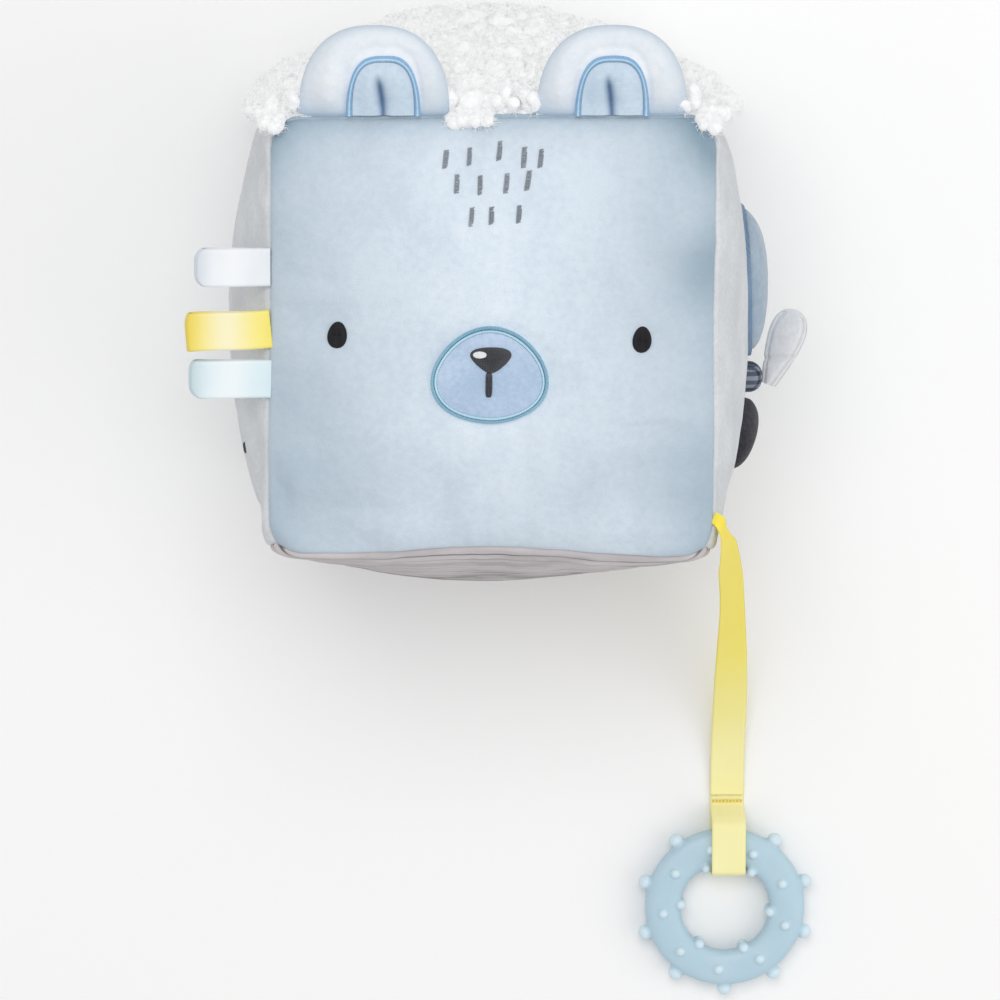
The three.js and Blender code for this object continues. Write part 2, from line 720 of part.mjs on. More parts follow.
const block = new THREE.Group();
block.add(
  meshOf('front_panel', panelGeometry(face_places.front), velour),
  meshOf('back_panel', panelGeometry(face_places.back), grey_cotton),
  meshOf('left_panel', panelGeometry(face_places.left), grey_cotton),
  meshOf('right_panel', panelGeometry(face_places.right), grey_cotton),
  meshOf('bottom_panel', panelGeometry(face_places.bottom), ribbed_cotton),
  meshOf('top_plush_panel', plushGeometry(), plush),
  meshOf('filling_core', coreGeometry(), fibre),
  earGroup('left', -1),
  earGroup('right', 1),
  ...faceMeshes(),
  tabMesh('white', white_satin),
  tabMesh('yellow', yellow_satin),
  tabMesh('aqua', aqua_satin),
  ...strapMeshes(),
  ...sideMeshes(),
  leafMesh(),
);

export default block;
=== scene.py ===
# Soft fabric block: a baby's stuffed cube with a bear's face, ears, ribbon tabs and a teething ring
import itertools
import math

import bmesh
import bpy
import numpy as np
from mathutils import Matrix, Vector


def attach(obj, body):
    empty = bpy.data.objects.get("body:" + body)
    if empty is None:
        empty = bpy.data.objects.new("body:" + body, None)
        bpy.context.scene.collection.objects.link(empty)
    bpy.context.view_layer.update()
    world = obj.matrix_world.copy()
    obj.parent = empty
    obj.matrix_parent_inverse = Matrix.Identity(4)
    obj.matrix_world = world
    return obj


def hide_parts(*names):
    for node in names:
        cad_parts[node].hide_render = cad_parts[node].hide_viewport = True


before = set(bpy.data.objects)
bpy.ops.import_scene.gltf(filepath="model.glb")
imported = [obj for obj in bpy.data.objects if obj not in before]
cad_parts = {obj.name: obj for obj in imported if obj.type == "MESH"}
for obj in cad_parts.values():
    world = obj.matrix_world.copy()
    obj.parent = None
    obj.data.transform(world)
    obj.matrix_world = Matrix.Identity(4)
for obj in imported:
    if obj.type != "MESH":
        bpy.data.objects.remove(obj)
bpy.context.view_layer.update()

MM = 0.001
WHITE = (1, 1, 1, 1)

# Camera: where the face lies in the picture, in pixels, and from where it was taken
PHOTO_PX = 1000
FACE_PX = (493, 335)
FOCAL_PX = 4470
SENSOR_MM = 36
EYE_DISTANCE = 1.5
EYE_TILT = math.radians(6.5)
EYE_TURN = math.radians(1.3)
FACE_CENTRE = Vector((0, 0, 0.153))

# Block
HALF = np.array([75, 73.5, 75]) * MM
CENTRE_HEIGHT = 78 * MM
SEAM_HEIGHT = CENTRE_HEIGHT + HALF[2]
CROWN_X = (16 * MM, 16.5 * MM)
CROWN_Y = (20 * MM, 25 * MM)
CROWN_Z = (9 * MM, 14 * MM)
CORNER_ROUND = 12 * MM
PILLOW = 2.6 * MM
PILLOW_WIDTH = 5 * MM
SAG = 0.8 * MM
SAG_SIZE = 55 * MM
BOTTOM_SEAM_WAVE = 1.4 * MM
LEFT_SEAM_LEAN = 1.8 * MM
SEAM_RADIUS = 2.4 * MM
SEAM_GROOVE = 0.9 * MM
SEAM_GROOVE_WIDTH = 0.9 * MM
SEAM_STIFFNESS = 2.5 * MM
PUCKER_WIDTH = 5 * MM
PUCKER_START = 1.2 * MM
PANEL_CELLS = 200
RIB_PITCH = 3.2 * MM
RIB_HEIGHT = 0.35 * MM
HEM_RADIUS = 1 * MM
HEM_RISE = 0.35 * MM
HEM_SIDES = 12
# Painted shade over all of the front's turned-in hem
HEM_SHADE = 0.8

# Painted shade on the velour: darker at its seams, along its top seam, over its sides and below its muzzle
EDGE_WIDTH = 10 * MM
TOP_SEAM_SHADE = 0.35
TOP_SEAM_WIDTH = 4 * MM
BROAD_EDGE = 0.66
BROAD_EDGE_WIDTH = 8 * MM
CHIN_SHADE = 0.15
CHIN_PLACE = -0.7
CHIN_HEIGHT = 0.2

# Stuffing: the cloth of the cube swells between its seams
CLOTH_CELLS = 44
CLOTH_FRAMES = 20
CLOTH_START = 0.82
CLOTH_SETTINGS = {
    "quality": 6, "mass": 0.15, "tension_stiffness": 12, "compression_stiffness": 12,
    "shear_stiffness": 4, "bending_stiffness": 0.2, "vertex_group_mass": "sewn",
    "shrink_min": -0.035, "use_pressure": True, "uniform_pressure_force": 4,
}
WRINKLE_REACH = 1.6 * MM
WRINKLE_GAIN = {"front": 0.9, "back": 0.9, "left": 0.9, "right": 0.9, "bottom": 0.35, "top": 0}

# Face, with places as shares of the block's half sizes
EYE_SIZE = (6.6 * MM, 9.2 * MM)
EYE_TAPER = 0.12
EYE_PLACES = {"left": (-0.692, 0.015), "right": (0.665, -0.003)}
EYE_DENT = (6.5 * MM, 0.7 * MM)
MUZZLE_SIZE = (39.2 * MM, 32.6 * MM)
MUZZLE_PLACE = (-0.025, -0.168)
MUZZLE_BORDER = 2.4 * MM
# The muzzle's lighter inner band of satin is a painted highlight
MUZZLE_HIGHLIGHT_BORDER = 0.42 * MUZZLE_BORDER
MUZZLE_TAPER = 0.18
MUZZLE_GROOVE = 0.9 * MM
MUZZLE_GROOVE_WIDTH = 0.16
NOSE_SIZE = (14 * MM, 8.8 * MM)
NOSE_PLACE = (-0.022, -0.1)
NOSE_OUTLINE = [
    [1, 0.35], [0.75, 0.85], [0, 1], [-0.75, 0.85], [-1, 0.35], [-0.62, -0.45], [0, -1], [0.62, -0.45],
]
STEM_SIZE = (2.4 * MM, 8.8 * MM)
STEM_PLACE = (-0.03, -0.212)
HIGHLIGHT_SIZE = (4.6 * MM, 2.4 * MM)
HIGHLIGHT_PLACE = (-0.071, -0.074)
STITCH_PLACES = [
    (-0.215, 0.803), (-0.108, 0.82), (0.029, 0.842), (0.136, 0.811), (0.207, 0.805),
    (-0.167, 0.699), (-0.056, 0.695), (0.06, 0.699), (0.153, 0.709),
    (-0.1, 0.554), (-0.008, 0.558), (0.112, 0.562),
]
STITCH_HEIGHT = 6.4 * MM
STITCH_WIDTH = 1.9 * MM
STITCH_LEAN = -5
THREAD_WIDTH = 0.42 * MM
THREAD_PITCH = 0.55 * MM

# Plush. Its lumps are warped by shifts, each with a reach, a size and a seed
PILE = 8 * MM
PILE_OVERHANG = 8 * MM
PLUSH_CELLS = 300
BOBBLE = 7.6 * MM
BOBBLE_HEIGHT = 4.2 * MM
CURL = 3 * MM
CURL_HEIGHT = 1.5 * MM
WARPS = ((2.2 * MM, 9 * MM, 65), (0.9 * MM, 2.6 * MM, 95))
FIBRES = 30000
FIRST_FIBRE_ROW = 34
FIBRE_LENGTH = 2.6 * MM
FIBRE_WIDTH = 0.16 * MM
FIBRE_LEAN = 0.55
FIBRE_CURL = 0.3

# Tufts along the front seam, in millimetres. Those near its ends and in the gap hang down
TUFT_REACH = 76
TUFT_SPACING = 2.6
TUFT_LENGTHS = (6, 9.5)
TUFT_WIDTHS = (3.6, 5.2)
TUFT_END = 69
TUFT_GAP = (-14, 2)
TUFT_FIBRES = 140
# How far a tuft points forward and up
TUFT_LEANS = {"behind_ear": (-0.6, 1), "hanging": (2.4, -1.6), "standing": (0.6, 1.2)}

# Ears
EAR_WIDTH = 50 * MM
EAR_HEIGHT = 31 * MM
EAR_HALF_THICKNESS = 6.5 * MM
EAR_RIM = 3 * MM
EAR_LEAN = math.radians(14)
EAR_SQUARENESS = 2.4
EAR_PLACE = (0.527 * HALF[0], HALF[1] + 0.3 * MM, SEAM_HEIGHT + 1.4 * MM)
EAR_SKIRT = 1.2 * MM
INNER_WIDTH = 20.5 * MM
INNER_HEIGHT = 19.6 * MM
INNER_SQUARENESS = 3
INNER_BORDER = 2.2 * MM
# The inner patch's lighter band of satin is a painted highlight
INNER_HIGHLIGHT_BORDER = (0.7 * MM, 1.5 * MM)

# Ribbons
RIBBON_WIDTH = 12.7 * MM
RIBBON_THICKNESS = 0.4 * MM
RIBBON_THREAD = 0.32 * MM
TAB_OPENING = 5 * MM
TAB_ROOT = (-HALF[0] - 0.3 * MM, SEAM_HEIGHT)
STRAP_ROUTE = np.array([
    [74.5, -62.4, 152.2], [76.3, -63.4, 152.6], [77.5, -66.2, 151.4], [78.4, -70, 147.6],
    [79.6, -75, 140.6], [81.2, -81, 128.6], [83, -87.6, 113.2], [84.7, -94.8, 97.5],
    [86.1, -102.4, 82.8], [87.2, -110, 69], [88.2, -117.6, 56.2], [89.1, -125.2, 44.6],
    [89.9, -132.8, 34.2], [90.5, -140.4, 25.3], [91, -148, 17.7], [91.3, -155.6, 11.6],
    [91.4, -163.2, 6.9], [91.4, -170.8, 3.6], [91.4, -178.4, 1.6], [91.4, -185, 0.9],
    [91.4, -191.2, 0.9],
]) * MM
STRAP_TOP_WIDTH = 0.32
STRAP_TOP_LENGTH = 28 * MM
# How far the strap's width has turned from along the seam to across, in degrees, at even steps
STRAP_TURNS = [4.0, 26.0, 34.0, 40.0, 50.0, 66.0, 86.0, 90.0]
# The strap's loop round the ring, seen from the side: y and height in mm, with a round fold at its end
LOOP_FOLD = (-217.4, 10.2, 2.7)
LOOP_BEND = 2.5
LOOP_TOP = [(-191.9, 0.9), (-195.3, 1.2), (-198.6, 9.6), (-201.5, 12.6), (-209, 12.7), (LOOP_FOLD[0], 12.7)]
LOOP_UNDER = [(LOOP_FOLD[0], 0.2), (-206, 0.2), (-197, 0.2), (-188.2, 0.2)]
# Between which y, in mm, the strap's painted shade (its bends) and its painted highlight (its sheen) come
# up, and the y and height of its stitches
STRAP_BENDS = (-200, -80)
STRAP_SHEEN = (-120, -180)
STITCH_LINE = (-194.15, 1.55)
SEAM_STITCHES = 9

# Ring. Each row of bumps has a count, the first one's turn, their radius, reach and height
RING_DIAMETER = 60 * MM
RING_HOLE = 33.4 * MM
RING_THICKNESS = 8.5 * MM
RING_ROUNDNESS = 2.6
RING_VOXEL = 0.45 * MM
RING_PLACE = (90.5 * MM, -233 * MM, 6.45 * MM)
RING_MIDDLE = (RING_DIAMETER + RING_HOLE) / 4
RING_WALL = (RING_DIAMETER - RING_HOLE) / 4
SMALL_BUMP = 2.1 * MM
RIM_BUMP = 2.8 * MM
FACE_BUMP_RISE = RING_THICKNESS / 2 + 1.5 * MM - SMALL_BUMP
HOLE_BUMP_RISE = 2.6 * MM
BUMP_ROWS = [
    (10, 18, RIM_BUMP, RING_DIAMETER / 2 + 1.3 * MM, 0),
    (9, 24, SMALL_BUMP, RING_MIDDLE, FACE_BUMP_RISE),
    (9, 24, SMALL_BUMP, RING_MIDDLE, -FACE_BUMP_RISE),
    (6, 55, SMALL_BUMP, RING_HOLE / 2 + 0.3 * MM, HOLE_BUMP_RISE),
    (6, 55, SMALL_BUMP, RING_HOLE / 2 + 0.3 * MM, -HOLE_BUMP_RISE),
]

# Right side's pads, with a middle in y and height, a size and a crown, and its leaf. Left side's dash
PAD_LIFT = 0.2 * MM
PAD_RIM = 2 * MM
BLUE_PAD = ((11.54 * MM, 84.75 * MM), (54 * MM, 48 * MM), 6.6 * MM)
DARK_PAD = ((-42.56 * MM, 84.75 * MM), (25 * MM, 27 * MM), 7 * MM)
BAND = ((-22.76 * MM, 84.75 * MM), (11 * MM, 15 * MM), 5.6 * MM)
LEAF_ROOT = (98.277 * MM, -25.386 * MM, 85.513 * MM)
LEAF_WIDTH = 16 * MM
LEAF_LENGTH = 28 * MM
LEAF_HALF_THICKNESS = 1.2 * MM
LEAF_TWIST = math.radians(-30)
LEAF_LEAN = math.radians(-20)
DASH_PLACE = (-0.56 * HALF[1], CENTRE_HEIGHT + 0.66 * HALF[2])
DASH_SIZE = (4.6 * MM, 1.6 * MM)

# Studio
FLOOR_HALF = 4
FLOOR_DROP = 0.3 * MM
WORLD_LEVEL = 0.64
LIGHT_TARGET = (0, 0, 0.08)
LIGHTS = {"key": ((-0.15, 0.6, 1.6), 0.9, 8.5), "fill": ((1.1, -0.3, 0.9), 1.2, 3.4)}


def show(name, data):
    thing = bpy.data.objects.new(name, data)
    bpy.context.scene.collection.objects.link(thing)
    return thing


def configure(thing, **settings):
    for setting, value in settings.items():
        setattr(thing, setting, value)
    return thing


def make_camera():
    back = Vector((-math.sin(EYE_TURN), math.sin(EYE_TILT), 0))
    back.z = math.sqrt(1 - back.length_squared)
    up = (Vector((0, 1, 0)) - back.y * back).normalized()
    right = up.cross(back)
    eye = FACE_CENTRE + EYE_DISTANCE * back
    off_x, off_y = ((PHOTO_PX / 2 - place) / FOCAL_PX for place in FACE_PX)
    ahead = (-back + right * off_x - up * off_y).normalized()
    side = ahead.cross(up).normalized()
    lens = SENSOR_MM * FOCAL_PX / PHOTO_PX
    data = configure(bpy.data.cameras.new("camera"), sensor_width=SENSOR_MM, lens=lens)
    camera = show("camera", data)
    turn = Matrix((side, side.cross(ahead), -ahead)).transposed()
    camera.matrix_world = Matrix.Translation(eye) @ turn.to_4x4()
    bpy.context.scene.camera = camera


make_camera()

# Seeded random values from 0 to 1 on whole-numbered cells
CELL_PRIMES = (73856093, 19349663, 83492791)
SEED_PRIME = 2654435761
MIXING_STEPS = ((15, 2246822519), (13, 3266489917), (16, 1))
WORD = 0xFFFFFFFF


def lattice(cells, seed):
    x, y, z = (cells[..., axis] * prime for axis, prime in enumerate(CELL_PRIMES))
    mixed = (x ^ y ^ z ^ (seed + 1) * SEED_PRIME) & WORD
    for shift, prime in MIXING_STEPS:
        mixed = ((mixed ^ (mixed >> shift)) * prime) & WORD
    return mixed / WORD


# Smooth values from -1 to 1 that change over a size
def noise(points, size, seed=0):
    place = points / size
    base = np.floor(place).astype(np.int64)
    share = place - base
    share = share * share * (3 - 2 * share)
    total = 0
    for corner in itertools.product((0, 1), repeat=3):
        step = np.array(corner)
        weight = np.prod(np.where(step, share, 1 - share), axis=-1)
        total = total + weight * lattice(base + step, seed)
    return 2 * total - 1


def noise_shifts(points, size, seed):
    return np.stack([noise(points, size, seed + k) for k in range(3)], axis=-1)


def crumple(points, size, seed=0, octaves=3):
    return sum(noise(points, size / 2 ** k, seed + k) / 2 ** k for k in range(octaves))


# Rounded lumps about a size across: 0 in the creases between them and 1 on top
def bobbles(points, size, seed=0, crease=0.22):
    place = points / size
    base = np.floor(place).astype(np.int64)
    nearest = np.full(points.shape[:-1], 9.0)
    second = nearest.copy()
    for step in itertools.product((-1, 0, 1), repeat=3):
        cell = base + np.array(step)
        jitter = np.stack([lattice(cell, seed + k) for k in range(3)], axis=-1)
        away = np.linalg.norm(place - cell - jitter, axis=-1)
        second = np.minimum(second, np.maximum(nearest, away))
        nearest = np.minimum(nearest, away)
    return dome(nearest / 0.95, 2) * smoothstep(-0.4 * crease, crease, second - nearest)


def smoothstep(low, high, value):
    share = np.clip((value - low) / (high - low), 0, 1)
    return share * share * (3 - 2 * share)


# 1 at 0, falling on both sides
def bell(value, width):
    return np.exp(-(value / width) ** 2)


# 1 at a distance of 0, fading as it grows
def fade(distance, width):
    return np.exp(-distance / width)


# 1 in the middle, round down to 0 at a share of 1
def dome(share, power):
    return np.sqrt(np.clip(1 - share ** power, 0, 1))


def signed_power(value, power):
    return np.sign(value) * np.abs(value) ** power


def unit(vectors):
    return vectors / np.linalg.norm(vectors, axis=-1, keepdims=True)


# The length of a place on a squared circle: 1 on its outline
def squared_length(x, y, power):
    return (np.abs(x) ** power + np.abs(y) ** power) ** (1 / power)


def turned(a, b, angle):
    return a * math.cos(angle) - b * math.sin(angle), a * math.sin(angle) + b * math.cos(angle)


# Even steps from 0 to 1 down a grid's rows, steps that gather at its ends, and steps round a turn
def shares_down(count):
    return np.linspace(0, 1, count + 1)[:, None]


def gathered(low, count):
    return np.sin(math.pi / 2 * np.linspace(low, 1, count + 1))


def angles_round(count):
    return np.linspace(0, 2 * math.pi, count, endpoint=False)[None, :]


# A smooth cubic curve through even rows of values, read at fractional rows
def cubic(values, rows):
    last = len(values) - 1
    first = np.clip(np.floor(rows).astype(int), 0, last - 1)
    share = (rows - first).reshape((-1,) + (1,) * (values.ndim - 1))
    p, q, r, s = (values[np.clip(first + step, 0, last)] for step in (-1, 0, 1, 2))
    curve = r - p + share * (2 * p - 5 * q + 4 * r - s + share * (3 * (q - r) + s - p))
    return q + 0.5 * share * curve


def refine(values, steps):
    return cubic(np.array(values), np.linspace(0, len(values) - 1, steps + 1))


def lengths_along(path):
    return np.concatenate([[0], np.cumsum(np.linalg.norm(np.diff(path, axis=0), axis=-1))])


# Points kept above the surface that the block lies on
def grounded(points):
    points[..., 2] = np.maximum(points[..., 2], 0)
    return points


# Places round an upright axis
def round_places(reach, height, turn):
    return np.stack([reach * np.cos(turn), reach * np.sin(turn), height + 0 * turn], axis=-1)


def grid_normals(points):
    along_rows, along_columns = np.gradient(points, axis=(0, 1))
    normals = np.cross(along_columns, along_rows)
    return normals / np.maximum(np.linalg.norm(normals, axis=-1, keepdims=True), 1e-12)


def grid_faces(index):
    corners = (index[..., :-1, :-1], index[..., :-1, 1:], index[..., 1:, 1:], index[..., 1:, :-1])
    return np.stack(corners, axis=-1).reshape(-1, 4)


def plain_mesh(name, points, faces):
    mesh = bpy.data.meshes.new(name)
    mesh.from_pydata(points.reshape(-1, 3).tolist(), [], faces.tolist())
    mesh.update()
    return mesh


# One mesh from grids of points. A grid is (points, loop), and a loop closes on itself along a row
def grids_mesh(name, grids, closed=False):
    points, faces, first = [], [], 0
    for grid, loop in grids:
        index = first + np.arange(grid[..., 0].size).reshape(grid.shape[:2])
        if loop:
            index = np.concatenate([index, index[:, :1]], axis=1)
        points.append(grid.reshape(-1, 3))
        faces.append(grid_faces(index))
        first += grid[..., 0].size
    mesh = plain_mesh(name, np.concatenate(points), np.concatenate(faces))
    if closed:
        shell = bmesh.new()
        shell.from_mesh(mesh)
        bmesh.ops.remove_doubles(shell, verts=shell.verts, dist=0.001 * MM)
        bmesh.ops.recalc_face_normals(shell, faces=shell.faces)
        shell.to_mesh(mesh)
        shell.free()
    return smooth_shaded(mesh)


def smooth_shaded(mesh):
    mesh.polygons.foreach_set("use_smooth", [True] * len(mesh.polygons))
    return mesh


def evaluated(thing):
    return thing.evaluated_get(bpy.context.evaluated_depsgraph_get())


def mesh_points(mesh):
    points = np.zeros(3 * len(mesh.vertices))
    mesh.vertices.foreach_get("co", points)
    return points.reshape(-1, 3)


def linear(colour):
    return [((c / 255 + 0.055) / 1.055) ** 2.4 if c > 10 else c / 255 / 12.92 for c in colour] + [1]


# Shader nodes, whose links are sockets of other nodes or plain values
class Nodes:
    def __init__(self, tree):
        self.tree = tree

    def node(self, kind, links={}, **settings):
        made = configure(self.tree.nodes.new("ShaderNode" + kind), **settings)
        for socket, source in links.items():
            if isinstance(source, bpy.types.NodeSocket):
                self.tree.links.new(source, made.inputs[socket])
            else:
                made.inputs[socket].default_value = source
        return made

    def math(self, operation, *values):
        return self.node("Math", dict(enumerate(values)), operation=operation).outputs[0]

    def range(self, value, low, high, new_low=0.0, new_high=1.0):
        links = {0: value, 1: low, 2: high, 3: new_low, 4: new_high}
        return self.node("MapRange", links).outputs[0]


# A procedural material in the object's own coordinates, in metres
class Look(Nodes):
    def __init__(self, name, roughness, sheen=0.0, specular=0.25):
        self.material = bpy.data.materials.new(name)
        self.material.use_nodes = True
        super().__init__(self.material.node_tree)
        self.shader = self.tree.nodes["Principled BSDF"]
        self.place = self.node("TexCoord").outputs["Object"]
        self.roughness = roughness
        self.set_all({
            "Roughness": roughness, "Sheen Weight": sheen, "Sheen Roughness": 0.5,
            "Specular IOR Level": specular,
        })

    def set_all(self, values):
        for socket, value in values.items():
            self.shader.inputs[socket].default_value = value

    def noise(self, size, detail=3, stretch=None, distortion=0.0):
        place = self.place
        if stretch:
            place = self.node("Mapping", {"Vector": place, "Scale": stretch}).outputs["Vector"]
        links = {"Vector": place, "Scale": 1 / size, "Detail": detail, "Distortion": distortion}
        return self.node("TexNoise", links).outputs["Fac"]

    # Ridges at a pitch, across one axis
    def ridges(self, pitch, axis, wander=0.0):
        scale = math.pi / 10 / pitch
        links = {"Vector": self.place, "Scale": scale, "Distortion": wander, "Detail": 1}
        return self.node("TexWave", links, bands_direction=axis).outputs["Fac"]

    # Threads at a pitch, crossed along two axes
    def weave(self, pitch, axes):
        return self.math("MULTIPLY", *(self.ridges(pitch, axis, 1) for axis in axes))

    # The sum of values, each with its weight
    def total(self, *weighted):
        value, weight = weighted[0]
        summed = self.math("MULTIPLY", value, weight)
        for value, weight in weighted[1:]:
            summed = self.math("MULTIPLY_ADD", value, weight, summed)
        return summed

    def mark(self, name, share=None):
        mark = self.node("Attribute", attribute_name=name).outputs["Fac"]
        return self.math("MULTIPLY", mark, share) if share else mark

    def mix(self, value, dark, light):
        return self.node("Mix", {0: value, 6: dark, 7: light}, data_type="RGBA").outputs[2]

    def colour(self, value, dark, light):
        return self.mix(value, linear(dark), linear(light))

    def paint(self, colour):
        self.tree.links.new(colour, self.shader.inputs["Base Color"])
        return self.material

    # With a colour, a roughness that varies with a value, and bumps, each with its depth and strength
    def finished(self, colour, value, spread, *bumps):
        low, high = self.roughness - spread, min(self.roughness + spread, 1)
        self.tree.links.new(self.range(value, 0, 1, low, high), self.shader.inputs["Roughness"])
        normal = {}
        for height, depth, strength in bumps:
            links = {"Height": height, "Distance": depth, "Strength": strength} | normal
            normal = {"Normal": self.node("Bump", links).outputs["Normal"]}
        self.tree.links.new(normal["Normal"], self.shader.inputs["Normal"])
        return self.paint(colour)


# Short-piled velour: softly brushed, with fine fibres, and darker with painted shade where its mesh marks it
def velour_look(name, dark, light, edge, patch=24 * MM):
    look = Look(name, 0.9, sheen=0.25)
    brushed = look.noise(patch, stretch=(1.2, 0.9, 1), distortion=0.4)
    nap = look.noise(2.4 * MM)
    fibres = look.noise(0.5 * MM, detail=2)
    tone = look.range(look.total((brushed, 0.55), (nap, 0.45)), 0.38, 0.62)
    cloth = look.colour(look.total((tone, 0.75), (fibres, 0.4)), dark, light)
    # Painted shade: the cloth mixed towards a darker colour where the mesh marks it
    cloth = look.mix(look.mark("edge", 0.9), cloth, linear(edge))
    return look.finished(cloth, fibres, 0.06, (nap, 0.4 * MM, 0.45), (fibres, 0.25 * MM, 0.6))


# Plain woven cotton, with its threads along two of the axes, and painted shade in a crease where its mesh
# marks one
def cotton_look(name, dark, light, axes, pitch=0.5 * MM, crease=None):
    look = Look(name, 0.9, sheen=0.1)
    threads = look.weave(pitch, axes)
    soft = look.noise(20 * MM)
    slubs = look.noise(1.6 * MM, detail=2)
    tone = look.range(look.total((soft, 0.6), (slubs, 0.4)), 0.35, 0.65)
    tone = look.math("SUBTRACT", tone, look.range(threads, 0, 1, 0.25, 0))
    cloth = look.colour(tone, dark, light)
    if crease:
        cloth = look.mix(look.mark("crease"), cloth, linear(crease))
    return look.finished(cloth, slubs, 0.08, (threads, 0.12 * MM, 0.6), (slubs, 0.1 * MM, 0.3))


# Fleecy plush: soft yarn with fine fibres
def plush_look(name, dark, light):
    look = Look(name, 0.95, sheen=0.8)
    yarn = look.noise(1.3 * MM, distortion=1.2)
    fibres = look.noise(0.35 * MM, detail=2)
    tone = look.range(look.total((yarn, 0.7), (fibres, 0.3)), 0.3, 0.6)
    cloth = look.colour(tone, dark, light)
    return look.finished(cloth, fibres, 0.05, (yarn, 0.7 * MM, 0.4), (fibres, 0.2 * MM, 0.3))


# Ribbed jersey with darker lines between its ribs
def ribbed_look(name, dark, light, pitch):
    look = Look(name, 0.9, sheen=0.15)
    ribs = look.ridges(pitch, "Z", 0.6)
    knit = look.weave(0.6 * MM, "XZ")
    soft = look.noise(9 * MM, stretch=(0.3, 1, 2))
    tone = look.math("ADD", look.range(ribs, 0, 0.4), look.range(soft, 0.3, 0.7, -0.3, 0.2))
    cloth = look.colour(tone, dark, light)
    return look.finished(cloth, soft, 0.06, (ribs, 0.5 * MM, 0.5), (knit, 0.12 * MM, 0.5))


# Satin stitch: glossy threads side by side
def satin_look(name, dark, light, axis, roughness=0.42, gloss=0.4, pitch=THREAD_PITCH, bend=None):
    look = Look(name, roughness, sheen=0.1, specular=gloss)
    threads = look.ridges(pitch, axis, 0.4)
    soft = look.noise(14 * MM, detail=2)
    tone = look.total((look.range(soft, 0.3, 0.7), 0.5), (threads, 0.5))
    cloth = look.colour(tone, dark, light)
    # Painted shade where the mesh marks a bend, and a painted highlight, towards white, where it marks sheen
    if bend:
        cloth = look.mix(look.mark("bend", 0.75), cloth, linear(bend))
        cloth = look.mix(look.mark("sheen", 0.5), cloth, WHITE)
    return look.finished(cloth, soft, 0.05, (threads, 0.06 * MM, 0.5))


# Satin ribbon, whose mesh marks where a painted highlight (its sheen) and painted shade (its bend) go
def ribbon_look(name, dark, light, bend, axis="X", roughness=0.36, gloss=0.4):
    return satin_look(name, dark, light, axis, roughness, gloss, RIBBON_THREAD, bend)


# Moulded silicone, with a painted highlight on its bumps, which its mesh marks
def silicone_look(name, colour, pale):
    look = Look(name, 0.42, specular=0.5)
    haze = look.noise(12 * MM, detail=2)
    grain = look.noise(0.4 * MM, detail=1)
    tone = look.math("ADD", look.mark("bump"), look.range(haze, 0.3, 0.7, -0.12, 0.12))
    look.set_all({"Subsurface Weight": 0.08, "Subsurface Radius": (2 * MM, 3 * MM, 4 * MM)})
    return look.finished(look.colour(tone, colour, pale), haze, 0.06, (grain, 0.02 * MM, 0.4))


# Small woven check in three tones
def checked_look(name, dark, middle, light, size):
    look = Look(name, 0.9, sheen=0.1)
    bars, rows = (look.range(look.ridges(2 * size, axis), 0.45, 0.55) for axis in "YZ")
    threads = look.ridges(0.45 * MM, "DIAGONAL")
    tone = look.math("MULTIPLY", look.math("ADD", bars, rows), 0.5)
    check = look.colour(look.range(tone, 0, 0.5), dark, middle)
    check = look.mix(look.range(tone, 0.5, 1), check, linear(light))
    check = look.mix(look.math("MULTIPLY", threads, 0.25), check, linear(dark))
    return look.finished(check, threads, 0.06, (threads, 0.12 * MM, 0.6))


